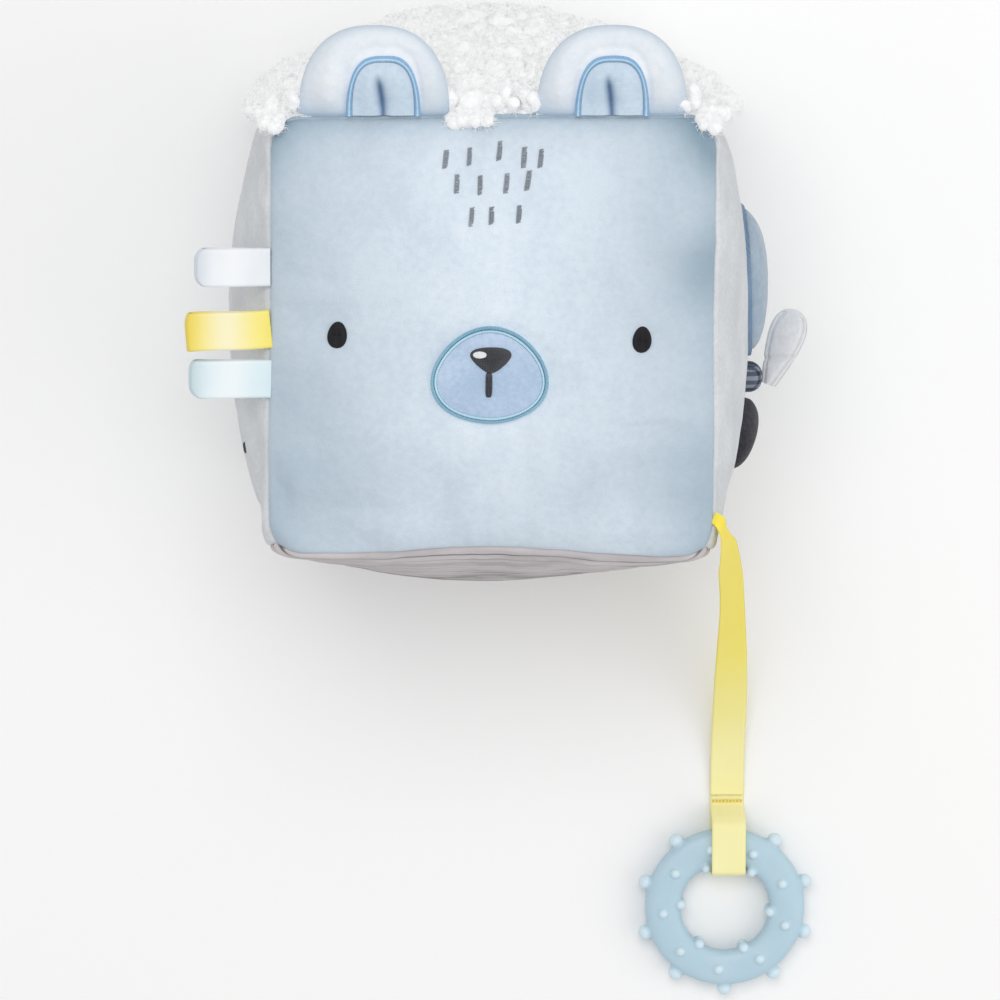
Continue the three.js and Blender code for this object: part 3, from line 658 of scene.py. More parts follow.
# The pieces' looks: how each is made, the slot it stands for, and its tones and threads
LOOKS = {
    # For the velour looks, the last colour is the colour of their painted shade
    "velour": (velour_look, "velour", (212, 225, 237), (229, 239, 248), (138, 161, 177)),
    "pale_velour": (velour_look, "pale_velour", (231, 238, 245), (247, 249, 252), (178, 197, 215), 12 * MM),
    "blue_pad": (velour_look, "blue_cotton", (146, 166, 184), (174, 189, 204), (112, 134, 158), 10 * MM),
    "side_cotton": (cotton_look, "grey_cotton", (210, 213, 216), (228, 230, 233), "YZ"),
    "back_cotton": (cotton_look, "grey_cotton", (208, 211, 214), (226, 228, 231), "XY"),
    "blue_fill": (cotton_look, "blue_fill", (174, 196, 222), (198, 216, 238), "XY", 0.55 * MM),
    # The ear's fill has a darker colour for the painted shade in its pinched crease
    "ear_fill": (cotton_look, "blue_fill", (198, 216, 232), (216, 230, 242), "XY", 0.55 * MM,
                 (92, 122, 158)),
    "dark_pad": (cotton_look, "black_cotton", (48, 48, 53), (76, 76, 84), "YZ"),
    "leaf_cotton": (cotton_look, "light_grey_cotton", (224, 225, 227), (240, 240, 241), "YZ", 0.45 * MM),
    "checked": (checked_look, "checked_cotton", (44, 50, 64), (90, 98, 116), (150, 156, 168), 1.5 * MM),
    "ribbed": (ribbed_look, "ribbed_cotton", (112, 105, 109), (208, 202, 204), RIB_PITCH),
    "plush": (plush_look, "plush", (251, 252, 253), (255, 255, 255)),
    # The silicone's pale colour is the painted highlight on its bumps
    "silicone": (silicone_look, "silicone", (184, 211, 225), (216, 236, 246)),
    "blue_satin": (satin_look, "blue_satin", (116, 164, 190), (150, 192, 212), "DIAGONAL"),
    # A paler copy of the blue satin: a painted highlight along the satin borders
    "light_satin": (satin_look, "blue_satin", (176, 214, 232), (200, 230, 242), "DIAGONAL"),
    "ear_satin": (satin_look, "blue_satin", (122, 164, 208), (152, 188, 222), "DIAGONAL"),
    "pad_satin": (satin_look, "blue_satin", (92, 120, 150), (130, 158, 186), "DIAGONAL"),
    "dark_satin": (satin_look, "dark_thread", (46, 46, 51), (74, 75, 81), "X", 0.5, 0.3),
    "grey_thread": (satin_look, "dark_thread", (116, 123, 131), (160, 167, 175), "X", 0.5, 0.3),
    "black_satin": (satin_look, "black_thread", (14, 13, 16), (34, 32, 37), "Y", 0.55, 0.2),
    "white_thread": (satin_look, "white_thread", (222, 223, 226), (240, 240, 241), "Y"),
    "dark_yellow": (satin_look, "yellow_satin", (214, 186, 48), (238, 214, 76), "X", 0.42, 0.4, 0.3 * MM),
    # The ribbons' last colour is their painted shade at bends
    "white_satin": (ribbon_look, "white_satin", (226, 232, 239), (241, 244, 247), (206, 214, 224)),
    "yellow_satin_x": (ribbon_look, "yellow_satin", (246, 228, 104), (251, 238, 132), (236, 206, 60)),
    "yellow_satin_y": (ribbon_look, "yellow_satin", (255, 243, 126), (255, 249, 158), (255, 230, 60),
                       "Y", 0.5, 0.1),
    "aqua_satin": (ribbon_look, "aqua_satin", (212, 233, 240), (230, 243, 247), (188, 208, 214)),
}
MATERIALS = {name: (look(name, *facts), slot) for name, (look, slot, *facts) in LOOKS.items()}


# A piece from grids or a mesh. Its marks are values for each of its points, for its material
def add_piece(name, shape, look, nodes=(), body="block", closed=False, fill=None, **marks):
    mesh = shape if isinstance(shape, bpy.types.Mesh) else grids_mesh(name, shape, closed)
    for mark, values in marks.items():
        values = np.full(len(mesh.vertices), np.ravel(values))
        mesh.attributes.new(mark, "FLOAT", "POINT").data.foreach_set("value", values)
    piece = show(name, mesh)
    material, slot = MATERIALS[look]
    mesh.materials.append(material)
    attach(piece, body)
    if nodes:
        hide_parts(*nodes)
    return piece


# Cube of cloth. Each face has its outward direction and the directions of its u and v
FACES = {
    "front": np.array([[0, 0, 1], [1, 0, 0], [0, 1, 0]]),
    "back": np.array([[0, 0, -1], [-1, 0, 0], [0, 1, 0]]),
    "left": np.array([[-1, 0, 0], [0, 0, 1], [0, 1, 0]]),
    "right": np.array([[1, 0, 0], [0, 0, -1], [0, 1, 0]]),
    "bottom": np.array([[0, -1, 0], [1, 0, 0], [0, 0, 1]]),
    "top": np.array([[0, 1, 0], [1, 0, 0], [0, 0, -1]]),
}


def cube_place(face, u, v):
    out, across, up = FACES[face]
    return out + u[..., None] * across + v[..., None] * up


# Where three seams meet, they round the corner
def corners_rounded(place):
    core = np.clip(place, CORNER_ROUND - HALF, HALF - CORNER_ROUND)
    share = np.abs(place - core) / CORNER_ROUND
    others = np.roll(share, 1, axis=-1) * np.roll(share, -1, axis=-1)
    return core + (place - core) * np.cos(math.pi / 4 * others)


# The front's bottom seam dips towards its corners, more on the right
def seam_wave(a, b, c):
    near = smoothstep(0.4, 1, -b) * smoothstep(0.4, 1, c)
    return BOTTOM_SEAM_WAVE * near * (np.cos(1.33 * math.pi * a) - 0.6 * a - 0.4)


# The front's left seam leans out towards the bottom
def seam_lean(a, b, c):
    return -LEFT_SEAM_LEAN * smoothstep(0.3, 1, -a) * smoothstep(-0.3, 0.8, -b) * smoothstep(0.3, 1, c)


def block_point(cube, fullness=1.0):
    a, b, c = np.moveaxis(cube, -1, 0)
    bulge = np.stack([
        np.where(a < 0, *CROWN_X) * a * (1 - b * b) * (1 - c * c),
        np.where(b < 0, *CROWN_Y) * b * (1 - a * a) * (1 - c * c),
        np.where(c < 0, *CROWN_Z) * c * (1 - a * a) * (1 - b * b),
    ], axis=-1)
    place = cube * HALF
    points = corners_rounded(place) + fullness * bulge + SAG * noise_shifts(place, SAG_SIZE, 21)
    points[..., 0] += seam_lean(a, b, c)
    points[..., 1] += seam_wave(a, b, c)
    points[..., 2] += CENTRE_HEIGHT
    return grounded(points)


# The cube's place with its edges rolled over into the seams, and its distance from the nearest seam
def rolled(cube):
    place = cube * HALF
    core = np.clip(place, SEAM_RADIUS - HALF, HALF - SEAM_RADIUS)
    seam = np.sort(HALF - np.abs(place), axis=-1)[..., 1]
    reach = SEAM_RADIUS - SEAM_GROOVE * bell(seam, SEAM_GROOVE_WIDTH)
    return (core + unit(place - core) * reach[..., None]) / HALF, seam


# A grid's values averaged with their neighbours, apart from those on its border
def softened(grid):
    across = grid[1:-1, :-2] + grid[1:-1, 2:]
    along = grid[:-2, 1:-1] + grid[2:, 1:-1]
    soft = grid.copy()
    soft[1:-1, 1:-1] = (2 * grid[1:-1, 1:-1] + across + along) / 6
    return soft


# The wrinkles of the cloth, sewn along its seams and swollen by its filling, as shifts of each face
def stuffed_shifts():
    even = np.linspace(-1, 1, CLOTH_CELLS + 1)
    v, u = np.meshgrid(even, even, indexing="ij")
    places = np.stack([cube_place(face, u, v) for face in FACES])
    keys = np.round(places.reshape(-1, 3) * CLOTH_CELLS).astype(int)
    joined, index = np.unique(keys, axis=0, return_inverse=True)
    index = index.reshape(places.shape[:3])
    cube = joined / CLOTH_CELLS
    mesh = plain_mesh("stuffed_cube", block_point(cube, CLOTH_START), grid_faces(index))
    cloth = show("stuffed_cube", mesh)
    at_seam = np.sum(np.abs(cube) > 0.999, axis=-1) > 1
    cloth.vertex_groups.new(name="sewn").add(np.flatnonzero(at_seam).tolist(), 1.0, "REPLACE")
    settings = configure(cloth.modifiers.new("cloth", "CLOTH").settings, **CLOTH_SETTINGS)
    settings.effector_weights.gravity = 0
    for step in range(1, CLOTH_FRAMES + 1):
        bpy.context.scene.frame_set(step)
    shifts = (mesh_points(evaluated(cloth).to_mesh()) - block_point(cube))[index]
    bpy.data.objects.remove(cloth)
    bpy.context.scene.frame_set(1)
    seamless = (1 - u * u) * (1 - v * v)
    powers = itertools.product(range(4), repeat=2)
    swelling = np.stack([(seamless * u ** i * v ** j).ravel() for i, j in powers], axis=-1)
    wrinkles = {}
    for face, shift in zip(FACES, shifts.reshape(len(FACES), -1, 3)):
        shift = shift - swelling @ np.linalg.lstsq(swelling, shift, rcond=None)[0]
        shift = softened(shift.reshape(u.shape + (3,)) * WRINKLE_GAIN[face])
        size = np.linalg.norm(shift, axis=-1, keepdims=True)
        wrinkles[face] = shift / np.maximum(size, 1e-9) * WRINKLE_REACH * np.tanh(size / WRINKLE_REACH)
    return wrinkles


SHIFTS = stuffed_shifts()


# Painted shade on the velour: darker towards its seams, over its sides, below its muzzle and along its top
# seam
def painted_shade_tones(points, u, v):
    aside, above = (1 - np.abs(u)) * HALF[0], (1 - np.abs(v)) * HALF[1]
    tone = (0.8 + 0.12 * u) * fade(aside, EDGE_WIDTH) * (1 + 0.4 * v) + 0.5 * fade(above, EDGE_WIDTH)
    broad = np.abs(u) ** 1.2 * (1 + 0.08 * u) * (1 - np.abs(v) ** 3)
    tone += BROAD_EDGE * broad * (1 - fade(aside, BROAD_EDGE_WIDTH))
    tone += CHIN_SHADE * bell(v - CHIN_PLACE, CHIN_HEIGHT)
    tone *= 0.85 + 0.25 * noise(points, 22 * MM, 25)
    return tone + TOP_SEAM_SHADE * fade((1 - v) * HALF[1], TOP_SEAM_WIDTH)


# One panel of the cube: a grid of points that is finer near its seams
class Panel:
    def __init__(self, face, detail):
        even = np.linspace(-1, 1, PANEL_CELLS + 1)
        self.knots = 1.25 * even - 0.25 * even ** 3
        v, u = np.meshgrid(self.knots, self.knots, indexing="ij")
        cube, seam = rolled(cube_place(face, u, v))
        rows = (self.knots + 1) / 2 * CLOTH_CELLS
        shift = cubic(cubic(SHIFTS[face], rows).transpose(1, 0, 2), rows).transpose(1, 0, 2)
        points = block_point(cube) + shift
        pillow = PILLOW * (1 - fade(seam, PILLOW_WIDTH) - (1 - u * u) * (1 - v * v))
        rise = pillow + (1 - fade(seam, SEAM_STIFFNESS)) * detail(points, u, v, seam)
        self.points = grounded(points + grid_normals(points) * rise[..., None])
        self.normals = grid_normals(self.points)
        # Painted shade for the velour, marked on every panel
        self.edge = painted_shade_tones(self.points, u, v)

    def at(self, u, v, lift):
        last = len(self.knots) - 1
        column, row = (np.interp(place, self.knots, np.arange(last + 1)) for place in (u, v))
        i, j = (np.clip(np.floor(place).astype(int), 0, last - 1) for place in (column, row))
        s, t = (column - i)[..., None], (row - j)[..., None]

        def read(grid):
            low, high = (grid[k, i] * (1 - s) + grid[k, i + 1] * s for k in (j, j + 1))
            return low * (1 - t) + high * t

        return read(self.points) + read(self.normals) * np.asarray(lift)[..., None]


# Gathers along the seams, none at the seam itself
def puckers(points, seam, depth, size, seed):
    near = fade(seam, PUCKER_WIDTH) * (1 - fade(seam, PUCKER_START))
    return depth * near * noise(points, size, seed)


def front_detail(points, u, v, seam):
    height = 0.3 * MM * crumple(points, 15 * MM, 3) + puckers(points, seam, 0.9 * MM, 8 * MM, 5)
    dent_radius, dent = EYE_DENT
    for place in EYE_PLACES.values():
        height -= dent * bell(np.hypot((u - place[0]) * HALF[0], (v - place[1]) * HALF[1]), dent_radius)
    x, y = (2 * (w - MUZZLE_PLACE[k]) * HALF[k] / MUZZLE_SIZE[k] for k, w in enumerate((u, v)))
    return height - MUZZLE_GROOVE * bell(np.hypot(x, y) - 1, MUZZLE_GROOVE_WIDTH)


def cotton_detail(seed):
    def detail(points, u, v, seam):
        return 0.35 * MM * crumple(points, 18 * MM, seed) + puckers(points, seam, 0.4 * MM, 9 * MM, seed + 4)
    return detail


def ribbed_detail(points, u, v, seam):
    place = points[..., 2] + 0.4 * MM * noise(points, 25 * MM, 31)
    ribs = RIB_HEIGHT * np.cos(2 * math.pi * place / RIB_PITCH)
    return ribs + 0.25 * MM * crumple(points, 22 * MM, 41)


PANELS = [
    ("front", front_detail, "velour", ["front_panel"]),
    ("left", cotton_detail(11), "side_cotton", ["left_panel"]),
    ("right", cotton_detail(15), "side_cotton", ["right_panel"]),
    ("back", cotton_detail(19), "back_cotton", ["back_panel", "filling_core"]),
    ("bottom", ribbed_detail, "ribbed", ["bottom_panel"]),
]
panels = {}
for face, detail, look, nodes in PANELS:
    panel = panels[face] = Panel(face, detail)
    add_piece(f"{face}_cloth", [(panel.points, False)], look, nodes, fill=0.7, edge=panel.edge)


# The front's turned-in hem, which closes the seam under the ears, darkened all over with painted shade
def seam_hem():
    seam = panels["front"].points[-1][:, None] + np.array([0, HEM_RISE, HEM_RISE])
    lean = np.roll(round_places(HEM_RADIUS, 0, angles_round(HEM_SIDES)), 1, axis=-1)
    add_piece("seam_hem", [(seam + lean, True)], "velour", edge=HEM_SHADE)


seam_hem()


def front_at(x, y, lift):
    return panels["front"].at(x / HALF[0], y / HALF[1], lift)


def right_at(y, z, lift):
    return panels["right"].at((CENTRE_HEIGHT - z) / HALF[2], y / HALF[1], lift)


def left_at(y, z, lift):
    return panels["left"].at((z - CENTRE_HEIGHT) / HALF[2], y / HALF[1], lift)


# Plush panel: bobbly pile that rolls out over the side seams
def plush_points():
    even = np.linspace(-1, 1, PLUSH_CELLS + 1)
    deep, across = np.meshgrid(even, even, indexing="ij")
    a, c = np.sin(math.pi / 2 * across), np.sin(math.pi / 2 * deep)
    cube, seam = rolled(cube_place("top", a, c))
    points = block_point(cube)
    share = (0.2 + 0.8 * (1 - a ** 12) * (1 - c ** 4)) * (1 - fade(seam, 1.5 * MM))
    points[..., 1] += (PILE - 0.5 * BOBBLE_HEIGHT) * share
    overhang = PILE_OVERHANG * (1 + 0.5 * noise(points, 13 * MM, 61)) * dome(c, 16)
    points[..., 0] += overhang * np.sign(across) * np.sin(math.pi * np.abs(across) ** 5)
    warp = points + sum(reach * noise_shifts(points, size, seed) for reach, size, seed in WARPS)
    lumps = bobbles(warp * (1, 0.7, 0.7), BOBBLE, 71, 0.6) * (0.8 + 0.35 * noise(points, 14 * MM, 64))
    height = BOBBLE_HEIGHT * lumps + CURL_HEIGHT * bobbles(warp, CURL, 73, 0.5)
    height += 0.3 * MM * crumple(points, 1.5 * MM, 66, 2)
    height *= 1 - fade(seam, 2 * MM)
    return grounded(points + grid_normals(points) * height[..., None])


# Single fibres that stand out of a piled surface, given as a grid of points
def fibres(points, count, seed, first_row=1):
    values = np.random.default_rng(seed)
    rows, columns = points.shape[:2]
    i, j = values.integers(first_row, rows - 1, count), values.integers(1, columns - 1, count)
    root, out = points[i, j], grid_normals(points)[i, j]
    lean = unit(out + FIBRE_LEAN * values.normal(size=(count, 3)))
    side = FIBRE_WIDTH / 2 * unit(np.cross(lean, values.normal(size=(count, 3))))
    length = FIBRE_LENGTH * values.uniform(0.5, 1, (count, 1))
    curl = FIBRE_CURL * length * values.normal(size=(count, 3))
    middles = (root - 0.3 * length * lean, root + 0.5 * length * lean, root + length * lean + curl)
    steps = [np.stack([middle - taper * side, middle + taper * side], axis=1)
             for middle, taper in zip(middles, (1, 0.8, 0.2))]
    return grounded(np.stack(steps, axis=1))


def fibres_mesh(name, places):
    first = 6 * np.arange(len(places))[:, None, None]
    faces = first + np.array([[0, 1, 3, 2], [2, 3, 5, 4]])
    return plain_mesh(name, places, faces.reshape(-1, 4))


# A round finger from its root, with two directions across it: the middles and the spokes of its rings
def finger(root, ahead, across, length, width, power, steps, sides):
    share, angle = shares_down(steps)[..., None], angles_round(sides)[..., None]
    spokes = width / 2 * dome(2 * share - 1, power) * (np.cos(angle) * across[0] + np.sin(angle) * across[1])
    return root + length * share * ahead, spokes


# A tuft of pile: a lumpy finger from its root along a direction
def tuft(root, direction, length, width):
    ahead = unit(direction)
    side = unit(np.cross(ahead, (0.3, 0.5, 0.8)))
    middles, spokes = finger(root, ahead, (side, np.cross(ahead, side)), length, width, 4, 20, 22)
    points = middles + spokes
    lump = 1 + 0.3 * noise(points, 3 * MM, 80) + 0.18 * noise(points, 1.2 * MM, 81)
    return middles + spokes * lump[..., None], True


# Tufts along the front seam, which stand behind the ears and hang down between them and at the ends
def seam_tufts():
    values = np.random.default_rng(7)
    grids = []
    for place in np.arange(-TUFT_REACH, TUFT_REACH + 1, TUFT_SPACING):
        place += values.uniform(-1, 1)
        x, at_end = place * MM, abs(place) > TUFT_END
        if abs(abs(x) - EAR_PLACE[0]) < EAR_WIDTH / 2 - 2 * MM:
            forward, rise = TUFT_LEANS["behind_ear"]
        elif at_end or TUFT_GAP[0] < place < TUFT_GAP[1]:
            forward, rise = TUFT_LEANS["hanging"]
        else:
            forward, rise = TUFT_LEANS["standing"]
        root = np.array([x, HALF[1] + 1.5 * MM, SEAM_HEIGHT - 1 * MM])
        root[:2] -= 1.5 * MM * at_end * np.array([np.sign(x), 1])
        aside = values.uniform(-0.7, 0.7) + 1.4 * np.sign(x) * at_end
        direction = (aside, rise + values.uniform(-0.6, 0.6), forward + values.uniform(-0.4, 0.4))
        length = values.uniform(*TUFT_LENGTHS) * MM
        grids.append(tuft(root, direction, length, values.uniform(*TUFT_WIDTHS) * MM))
    return grids


pile = plush_points()
add_piece("plush_top", [(pile, False)], "plush", ["top_plush_panel"], fill=0.6)
tufts = seam_tufts()
add_piece("plush_tufts", tufts, "plush")
loose = [fibres(pile, FIBRES, 5, FIRST_FIBRE_ROW)]
loose += [fibres(points, TUFT_FIBRES, k) for k, (points, _) in enumerate(tufts)]
add_piece("plush_fibres", fibres_mesh("plush_fibres", np.concatenate(loose)), "plush")


# Outlines round a middle, as functions of the angle
def egg(width, height, taper=0.0, turn=0.0):
    def outline(angle):
        x = width / 2 * np.cos(angle) * (1 - taper * np.sin(angle))
        return turned(x, height / 2 * np.sin(angle), turn)
    return outline


def squared(width, height, power):
    def outline(angle):
        x, y = (signed_power(wave, power) for wave in (np.cos(angle), np.sin(angle)))
        return width / 2 * x, height / 2 * y
    return outline


def curved(width, height, shares):
    corners = np.array(shares[-1:] + shares + shares[:3]) * (width / 2, height / 2)

    def outline(angle):
        rows = 1 + np.mod(angle / (2 * math.pi), 1) * len(shares)
        return cubic(corners, rows.ravel()).T.reshape((2,) + rows.shape)
    return outline


# A grid inside an outline, in rings from its middle: each ring's share, and the places
def filled(outline, rings, steps):
    share, (x, y) = shares_down(rings), outline(angles_round(steps))
    return share, x * share, y * share


# Satin stitch that fills an outline, with its threads along one direction
def satin_patch(surface, middle, outline, lift, height, threads, rings=14, steps=96):
    share, x, y = filled(outline, rings, steps)
    ridge = np.cos(2 * math.pi * turned(x, y, -threads)[1] / THREAD_PITCH)
    rise = lift + height * dome(share, 4) * (0.86 + 0.14 * ridge) - 0.3 * MM * (share == 1)
    return surface(middle[0] + x, middle[1] + y, rise), True


# Satin stitch along an outline, between two distances out from it
def satin_border(surface, middle, outline, inner, outer, lift, height, angles=None):
    across = np.linspace(-1, 1, 9)[:, None]
    x, y = outline(angles_round(720) if angles is None else angles)
    reach = 1 + ((inner + outer) / 2 + (outer - inner) / 2 * across) / np.hypot(x, y)
    along = lengths_along(np.stack([x[0], y[0]], axis=-1))
    ridge = np.cos(2 * math.pi * along / along[-1] * round(along[-1] / THREAD_PITCH))
    rise = lift + height * dome(across, 4) * (0.88 + 0.12 * ridge) - 0.2 * MM * (np.abs(across) == 1)
    return surface(middle[0] + x * reach, middle[1] + y * reach, rise), angles is None


# Borders, each with two distances out from an outline, a height, a look and its nodes
def add_borders(borders, surface, middle, outline, body="block", lift=0, angles=None):
    for name, inner, outer, height, look, nodes in borders:
        border = satin_border(surface, middle, outline, inner, outer, lift, height, angles)
        add_piece(name, [border], look, nodes, body)


# A short round thread
def thread(root, direction, length, steps=8):
    ahead, up = unit(direction), np.array([0, 0, 1.0])
    middles, spokes = finger(root, ahead, (np.cross(ahead, up), up), length, THREAD_WIDTH, 6, steps, 8)
    return middles + spokes, True


# A forehead stitch: a long thread, and short slanted ones across it
def dash_threads(middle, values, rows=12):
    height = STITCH_HEIGHT * values.uniform(0.92, 1.06)
    lean = math.radians(STITCH_LEAN + values.uniform(-4, 4))
    short, shift = values.uniform(0.5, 0.9), values.uniform(-0.1, 0.1)
    aside = 0.34 * STITCH_WIDTH
    ends = [
        ((-aside, -0.5 * height), (-aside, 0.5 * height)),
        ((aside, (shift - short / 2) * height), (aside, (shift + short / 2) * height)),
    ]
    for k in range(rows):
        y = height * ((k + 0.5) / rows - 0.5)
        reach = STITCH_WIDTH * values.uniform(0.3, 0.5)
        ends.append(((-0.45 * STITCH_WIDTH, y - 0.3 * MM), (reach, y + values.uniform(0.1, 0.4) * MM)))
    grids = []
    for both in ends:
        root, tip = (front_at(*(middle + turned(*end, lean)), 0.2 * MM) for end in both)
        grids.append(thread(root, tip - root, np.linalg.norm(tip - root), 12))
    return grids


def on_face(shares):
    return np.multiply(shares, HALF[:2])


def face_pieces():
    middle = on_face(MUZZLE_PLACE)
    muzzle = egg(*(size - 2 * MUZZLE_BORDER for size in MUZZLE_SIZE), MUZZLE_TAPER)
    _, x, y = filled(muzzle, 40, 160)
    cloth = [(front_at(middle[0] + x, middle[1] + y, 0.7 * MM), True)]
    add_piece("muzzle_cloth", cloth, "blue_fill", ["muzzle_patch"])
    add_borders([
        ("muzzle_satin", MUZZLE_HIGHLIGHT_BORDER, MUZZLE_BORDER, 1.5 * MM, "blue_satin", ["muzzle_stitch"]),
        # A painted highlight: a paler band of the same satin
        ("muzzle_painted_highlight", 0, MUZZLE_HIGHLIGHT_BORDER, 1.35 * MM, "light_satin", []),
    ], front_at, middle, muzzle)
    eye, nose = egg(*EYE_SIZE, EYE_TAPER), curved(*NOSE_SIZE, NOSE_OUTLINE)
    stem, highlight = squared(*STEM_SIZE, 0.5), egg(*HIGHLIGHT_SIZE)
    patches = [
        ("eye_left", "black_satin", EYE_PLACES["left"], eye, 0, 1.5 * MM, 0, 14),
        ("eye_right", "black_satin", EYE_PLACES["right"], eye, 0, 1.5 * MM, 0, 14),
        ("nose", "dark_satin", NOSE_PLACE, nose, 0.6 * MM, 1.5 * MM, 0, 40),
        ("nose_stem", "dark_satin", STEM_PLACE, stem, 0.6 * MM, 1.1 * MM, 0, 14),
        ("nose_highlight", "white_thread", HIGHLIGHT_PLACE, highlight, 1.9 * MM, 0.7 * MM, 0.3, 14),
    ]
    for node, look, place, *facts in patches:
        add_piece(f"{node}_satin", [satin_patch(front_at, on_face(place), *facts)], look, [node])
    values = np.random.default_rng(3)
    grids = [grid for place in STITCH_PLACES for grid in dash_threads(on_face(place), values)]
    nodes = [f"forehead_stitch_{k + 1:02d}" for k in range(len(STITCH_PLACES))]
    add_piece("forehead_stitches", grids, "grey_thread", nodes)


face_pieces()


# Ears, with x across and y up from the middle of their root
def ear_reach(v):
    return EAR_WIDTH / 2 * (1 - v ** EAR_SQUARENESS) ** (1 / EAR_SQUARENESS)


def ear_thickness(x, y):
    v = np.clip(y / EAR_HEIGHT, 0, 1)
    s = np.clip(np.abs(x) / np.maximum(ear_reach(v), 0.2 * MM), 0, 1)
    rise = 0.1 + 0.9 * np.sin(math.pi / 2 * np.minimum(v / 0.6, 1))
    return 0.02 * MM + EAR_HALF_THICKNESS * dome(s, 2) * dome(v, 4) * rise


# How far a place on the ear is from the inner patch: 1 on its outline
def inner_share(x, y):
    return squared_length(2 * x / INNER_WIDTH, np.maximum(y, 0) / INNER_HEIGHT, INNER_SQUARENESS)


# The fold pinched into the middle of the inner patch: 1 at its bottom
def pinch(x, y, width):
    up = y / INNER_HEIGHT
    across = np.abs(x + 2.8 * MM * np.abs(up) ** 1.5) / width
    return (1 - smoothstep(0.5, 0.85, up)) * np.exp(-across ** 1.5)


def ear_front(x, y, aside):
    share, thick = inner_share(x - aside, y), ear_thickness(x, y)
    roll = 2 * MM * bell(share - 1.8, 0.5)
    pressed = 1.7 * MM * (1 - smoothstep(1, 1.8, share))
    groove = 0.5 * MM * bell(share - 1.24, 0.08)
    crease = 2.6 * MM * pinch(x - aside, y, 1.5 * MM)
    puff = 0.9 * MM * bell(np.abs(x - aside) - 4.6 * MM, 2.8 * MM) * (1 - smoothstep(0.7, 1, share))
    return thick + np.minimum(thick / EAR_RIM, 1) * (roll - pressed - groove - crease + puff)


def ear_world(side, x, y, z):
    y, z = turned(y, z, EAR_LEAN)
    return np.stack(np.broadcast_arrays(x, y, z), axis=-1) + (side * EAR_PLACE[0], *EAR_PLACE[1:])


def ear_pieces(body, side, aside):
    u, v = gathered(-1, 130)[None, :], gathered(0, 90)[:, None]
    x, y = u * ear_reach(v), v * EAR_HEIGHT + 0 * u
    z, thick, root = ear_front(x, y, aside), ear_thickness(x, y), EAR_SKIRT * (y == 0)
    rim = np.minimum(thick / EAR_RIM, 1)
    points = ear_world(side, x, y, z)
    soft = 0.22 * MM * crumple(points, 8 * MM, 90) * rim
    hidden = 1 * MM * (1 - smoothstep(0.8, 0.95, inner_share(x - aside, y)))
    cloth = ear_world(side, x, y - root, z + soft - hidden - 2 * root)
    # Painted shade at the ear's outline and along its base
    edge = fade(thick, 2.6 * MM) + 0.6 * fade(y, 1.6 * MM)
    nodes = [f"{body}_front"]
    add_piece(f"{body}_velour", [(cloth, False)], "pale_velour", nodes, body, fill=0.6, edge=edge)
    bobbly = 1.8 * MM * bobbles(points * (1, 1, 0.5), 4.6 * MM, 91) * rim
    back = ear_world(side, x, y, -thick * 0.8 - bobbly)
    add_piece(f"{body}_plush", [(back, False)], "plush", [f"{body}_back"], body, fill=0.6)

    def surface(x, y, lift):
        return ear_world(side, x, y, ear_front(x, y, aside) + lift)

    arch = squared(INNER_WIDTH, 2 * INNER_HEIGHT, 2 / INNER_SQUARENESS)
    half, y = arch(np.linspace(0, math.pi / 2, 61)[:, None])
    x = half * np.linspace(-1, 1, 101)[None, :]
    y = np.broadcast_to(y, x.shape)
    # The patch marks painted shade along its pinched crease
    patch, crease = [(surface(x + aside, y, 0.35 * MM), False)], pinch(x, y, 1.15 * MM)
    add_piece(f"{body}_patch", patch, "ear_fill", [f"{body}_inner"], body, crease=crease)
    add_borders([
        (f"{body}_satin", 0, INNER_BORDER, 1 * MM, "ear_satin", [f"{body}_stitch"]),
        # A painted highlight: a paler band of the same satin
        (f"{body}_light_satin", *INNER_HIGHLIGHT_BORDER, 1.2 * MM, "light_satin", []),
    ], surface, (aside, 0), arch, body, 0.1 * MM, np.linspace(0, math.pi, 420)[None, :])


ear_pieces("ear_left", -1, 3 * MM)
ear_pieces("ear_right", 1, 0)


# A ribbon along a path, closed round its section and at its ends
def ribbon(path, sideways, widths=RIBBON_WIDTH, curl=0.0):
    ahead = unit(np.gradient(path, axis=0))
    across = unit(sideways - np.sum(sideways * ahead, axis=-1, keepdims=True) * ahead)
    share = np.linspace(-1, 1, 15)
    face = np.repeat((1, -1), len(share))
    share = np.concatenate([share, share[::-1]])
    thick = RIBBON_THICKNESS / 2 * (1 + 0.5 * bell(1 - np.abs(share), 0.06))
    thick *= np.sqrt(np.clip(1 - np.abs(share) ** 40, 0.2, 1))
    lift = (face * thick + curl * share ** 2)[None, :, None]
    offset = np.broadcast_to(widths, len(path))[:, None, None] / 2 * share[None, :, None]
    rings = path[:, None] + offset * across[:, None] + lift * np.cross(ahead, across)[:, None]
    first, last = (np.broadcast_to(ring.mean(axis=0), ring.shape)[None] for ring in (rings[0], rings[-1]))
    return [(np.concatenate([first, rings, last]), True)]


# Tabs: look, length, place along the seam, turn in degrees, sway and how round the end is
TABS = {
    "tab_white": ("white_satin", 24.4 * MM, 23.005 * MM, 0, 0, 2.6 * MM),
    "tab_yellow": ("yellow_satin_x", 27.6 * MM, 2.205 * MM, 5, 1.4 * MM, 0.7 * MM),
    "tab_aqua": ("aqua_satin", 26.6 * MM, -14.595 * MM, -1.5, -0.6 * MM, 2.2 * MM),
}


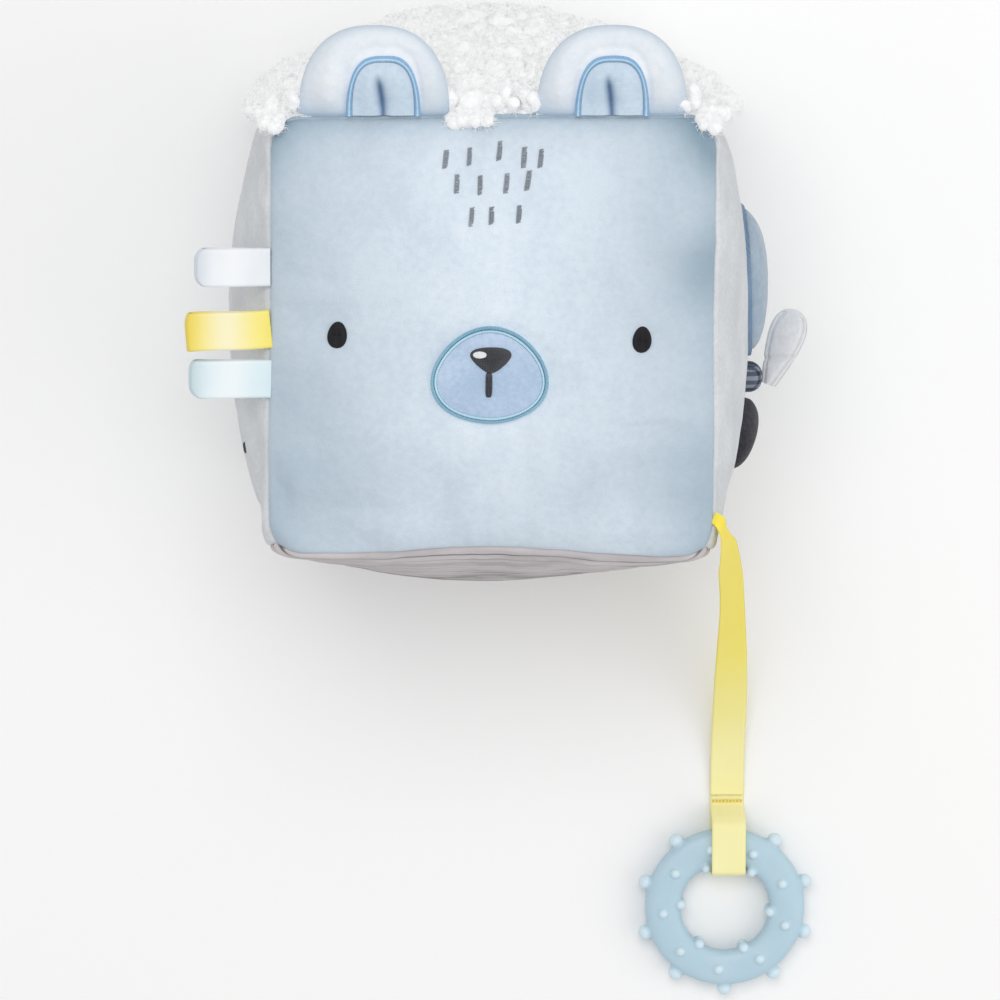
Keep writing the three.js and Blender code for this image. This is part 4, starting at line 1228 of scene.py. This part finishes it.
# A folded tab of ribbon, soft and open at its end
def tab_piece(name, look, length, place, turn, sway, end_round):
    bend = (TAB_OPENING + RIBBON_THICKNESS) / 2
    layer = 0.15 * MM + RIBBON_THICKNESS / 2
    tip = bend - length
    places = [(0.9 * MM, -layer), (-1.5 * MM, -layer), (0.45 * tip, -0.6 * bend), (tip, -bend)]
    places += [(tip - bend * math.cos(a), bend * math.sin(a)) for a in (-0.8, 0, 0.8)]
    places += [(tip, bend), (0.45 * tip, 0.7 * bend), (-1.5 * MM, layer), (0.9 * MM, layer)]
    x, z = refine(places, 110).T
    path = np.stack([x, sway * np.sin(math.pi / 2 * x / -length) ** 2, z], axis=-1)
    [(points, _)] = ribbon(path, np.array([0, 1, 0]), curl=0.25 * MM)
    x, y, z = np.moveaxis(points, -1, 0)
    near_end = smoothstep(tip + 5 * MM, tip - bend, x)
    x, y = turned(x + end_round * near_end * np.abs(2 * y / RIBBON_WIDTH) ** 4, y, math.radians(turn))
    points = np.stack([x, y, z], axis=-1) + (TAB_ROOT[0], place, TAB_ROOT[1])
    mesh = grids_mesh(f"{name}_ribbon", [(points, True)], closed=True)
    share = (TAB_ROOT[0] - mesh_points(mesh)[:, 0]) / length
    # Painted highlight across the middle of the tab and painted shade towards its folded end
    sheen, bend = bell(share - 0.5, 0.26), smoothstep(0.7, 1, share)
    piece = add_piece(mesh.name, mesh, look, [name], name, sheen=sheen, bend=bend)


for name, facts in TABS.items():
    tab_piece(name, *facts)


# Strap from the right seam down to the surface, its loop round the ring and its stitching
def strap_pieces():
    path = refine(STRAP_ROUTE, 200)
    along = lengths_along(path)
    turn = np.radians(cubic(np.array(STRAP_TURNS), along / along[-1] * (len(STRAP_TURNS) - 1)))
    sideways = np.stack([np.sin(turn), np.cos(turn), 0 * turn], axis=-1)
    wide = STRAP_TOP_WIDTH + (1 - STRAP_TOP_WIDTH) * smoothstep(0, STRAP_TOP_LENGTH, along)
    mesh = grids_mesh("strap_band", ribbon(path, sideways, RIBBON_WIDTH * wide, 0.3 * MM), closed=True)
    y = mesh_points(mesh)[:, 1] / MM
    # Painted shade towards the strap's top and a painted highlight towards its lower end
    marks = {"bend": smoothstep(*STRAP_BENDS, y), "sheen": 0.5 * smoothstep(*STRAP_SHEEN, y)}
    band = add_piece(mesh.name, mesh, "yellow_satin_y", ["strap_ribbon"], "strap", **marks)
    end, high, low = LOOP_FOLD
    places = list(LOOP_TOP)
    places += [(end - LOOP_BEND * math.sin(a), high + LOOP_BEND * math.cos(a)) for a in (0.8, 1.57)]
    places += [(end - LOOP_BEND * math.cos(a), low - LOOP_BEND * math.sin(a)) for a in (0, 0.8)]
    y, z = refine(np.array(places + LOOP_UNDER) * MM, 130).T
    middle = STRAP_ROUTE[-1, 0]
    shape = ribbon(np.stack([0 * y + middle, y, z], axis=-1), np.array([1, 0, 0]))
    # A painted highlight over all of the loop
    facts = {"body": "strap_end", "closed": True, "sheen": 0.6}
    loop = add_piece("strap_end_loop", shape, "yellow_satin_y", ["strap_loop"], **facts)
    grids = []
    for k, slant in itertools.product(range(SEAM_STITCHES), (-1, 1)):
        x = middle + RIBBON_WIDTH * 0.92 * ((k + 0.5) / SEAM_STITCHES - 0.5)
        root = (x - 0.45 * MM * slant, *(place * MM for place in STITCH_LINE))
        grids.append(thread(root, (0.9 * slant, 1.1, 0), 1.5 * MM))
    stitching = add_piece("strap_end_stitching", grids, "dark_yellow", ["strap_stitch"], "strap_end")


strap_pieces()


# Teething ring: one moulded body with its bumps blended in
def ring_piece():
    across, up = squared(2, 2, 2 / RING_ROUNDNESS)(angles_round(48))
    body = round_places(RING_MIDDLE + RING_WALL * across, RING_THICKNESS / 2 * up, angles_round(160).T)
    grids = [(np.concatenate([body, body[:1]]) + RING_PLACE, True)]
    rise = np.linspace(-math.pi / 2, math.pi / 2, 17)[:, None]
    ball = round_places(np.cos(rise), np.sin(rise), angles_round(24))
    for count, turn, radius, reach, height in BUMP_ROWS:
        for k in range(count):
            place = round_places(reach, height, math.radians(turn + 360 * k / count))
            grids.append((radius * ball + (place + RING_PLACE), True))
    parts = show("ring_parts", grids_mesh("ring_parts", grids, closed=True))
    configure(parts.modifiers.new("remesh", "REMESH"), mode="VOXEL", voxel_size=RING_VOXEL)
    configure(parts.modifiers.new("smooth", "SMOOTH"), factor=0.5, iterations=6)
    mesh = smooth_shaded(bpy.data.meshes.new_from_object(evaluated(parts)))
    bpy.data.objects.remove(parts)
    mesh.name = "ring_silicone"
    x, y, z = (mesh_points(mesh) - RING_PLACE).T
    across, up = (np.hypot(x, y) - RING_MIDDLE) / RING_WALL, z / (RING_THICKNESS / 2)
    # Painted highlight: the bumps, out from the ring's body, are marked to be paler
    bump = smoothstep(0.02, 0.32, squared_length(across, up, RING_ROUNDNESS) - 1)
    add_piece(mesh.name, mesh, "silicone", ["teether_ring"], "ring", bump=bump)


ring_piece()


# A pad on the right side, tucked along its rim
def pad_piece(name, look, node, pad, outline, rings, steps, seed, fill):
    (y, z), _, crown = pad
    share, across, up = filled(outline, rings, steps)
    tucks = 0.35 * MM * bell(1 - share, 0.14) * (share < 1)
    tucks = tucks * noise(np.stack([across, up, 0 * up], axis=-1), 3.2 * MM, seed)
    rise = PAD_LIFT + crown * dome(share, 2.6) + tucks - 0.5 * MM * (share == 1)
    add_piece(name, [(right_at(y + across, z + up, rise), True)], look, [node], fill=fill)


# Pads and band on the right side, and the dash on the left one
def side_pieces():
    rim = egg(*(size - 2 * PAD_RIM for size in BLUE_PAD[1]))
    dark, band = egg(*DARK_PAD[1]), egg(*BAND[1])
    dash = egg(*DASH_SIZE, turn=math.radians(25))
    pad_piece("blue_pad_cloth", "blue_pad", "side_pad_blue", BLUE_PAD, rim, 36, 180, 101, 0.6)
    border = ("blue_pad_satin", 0, PAD_RIM, 1.4 * MM, "pad_satin", ["side_pad_stitch"])
    add_borders([border], right_at, BLUE_PAD[0], rim)
    pad_piece("dark_pad_cloth", "dark_pad", "side_pad_dark", DARK_PAD, dark, 36, 180, 105, 0.6)
    pad_piece("band_cloth", "checked", "flap_band", BAND, band, 20, 90, 109, 0.5)
    patch = satin_patch(left_at, DASH_PLACE, dash, 0, 0.8 * MM, 0.4, 10, 56)
    add_piece("left_dash_satin", [patch], "dark_satin", ["left_dash"])


side_pieces()


def leaf_piece():
    u, v = gathered(-1, 60)[None, :], gathered(0, 70)[:, None]
    reach = LEAF_WIDTH / 2 * (0.34 + 0.66 * np.sin(math.pi / 2 * v)) * dome(v, 6)
    x, y = u * reach, v * LEAF_LENGTH + 0 * u
    thick = 0.15 * MM + LEAF_HALF_THICKNESS * dome(u, 2) * dome(v, 4)
    from_edge = (1 - np.abs(u)) * reach / (1.6 * MM)
    seam = -0.4 * MM * np.exp(-6 * (from_edge - 1) ** 2) * (v < 0.93)
    fold = -1.1 * MM * bell(y - 0.35 * LEAF_LENGTH - 0.4 * x, 1 * MM)
    turn = np.array(Matrix.Rotation(LEAF_LEAN, 3, "Z") @ Matrix.Rotation(LEAF_TWIST, 3, "Y"))
    grids = []
    for face, depth in ((1, 1), (-1, 0.6)):
        points = np.stack([x, y, face * (thick + seam) + depth * fold], axis=-1)
        points[..., 2] += 0.25 * MM * crumple(points + face, 6 * MM, 121) * np.minimum(thick / MM, 1)
        grids.append((points @ turn.T + LEAF_ROOT, False))
    add_piece("leaf_cloth", grids, "leaf_cotton", ["leaf_flap"], "leaf", closed=True, fill=0.2)


leaf_piece()


# Studio: a floor that the camera sees as white, lights, and a glow that is full to camera and gloss
def make_floor():
    look = Look("floor", 0.9)
    seen = look.node("LightPath").outputs["Is Camera Ray"]
    paper = look.paint(look.mix(seen, linear((238, 239, 240)), WHITE))
    corners = np.array([(-1, -1, 0), (1, -1, 0), (1, 1, 0), (-1, 1, 0)]) * FLOOR_HALF - (0, 0, FLOOR_DROP)
    mesh = plain_mesh("floor", corners, np.array([[0, 1, 2, 3]]))
    mesh.materials.append(paper)
    show("floor", mesh)


def make_world():
    world = bpy.data.worlds.new("studio")
    bpy.context.scene.world = world
    world.use_nodes = True
    nodes = Nodes(world.node_tree)
    rays = nodes.node("LightPath").outputs
    seen = nodes.math("MAXIMUM", rays["Is Camera Ray"], rays["Is Glossy Ray"])
    background = nodes.tree.nodes["Background"].inputs
    nodes.tree.links.new(nodes.range(seen, 0, 1, WORLD_LEVEL), background["Strength"])
    background["Color"].default_value = WHITE


def make_light(name, place, size, power):
    data = bpy.data.lights.new(name, "AREA")
    light = show(name, configure(data, shape="SQUARE", size=size, energy=power))
    light.location = place
    light.rotation_euler = (Vector(place) - Vector(LIGHT_TARGET)).to_track_quat("Z", "Y").to_euler()


make_floor()
make_world()
for name, facts in LIGHTS.items():
    make_light(name, *facts)
bpy.context.scene.view_settings.view_transform = "Standard"
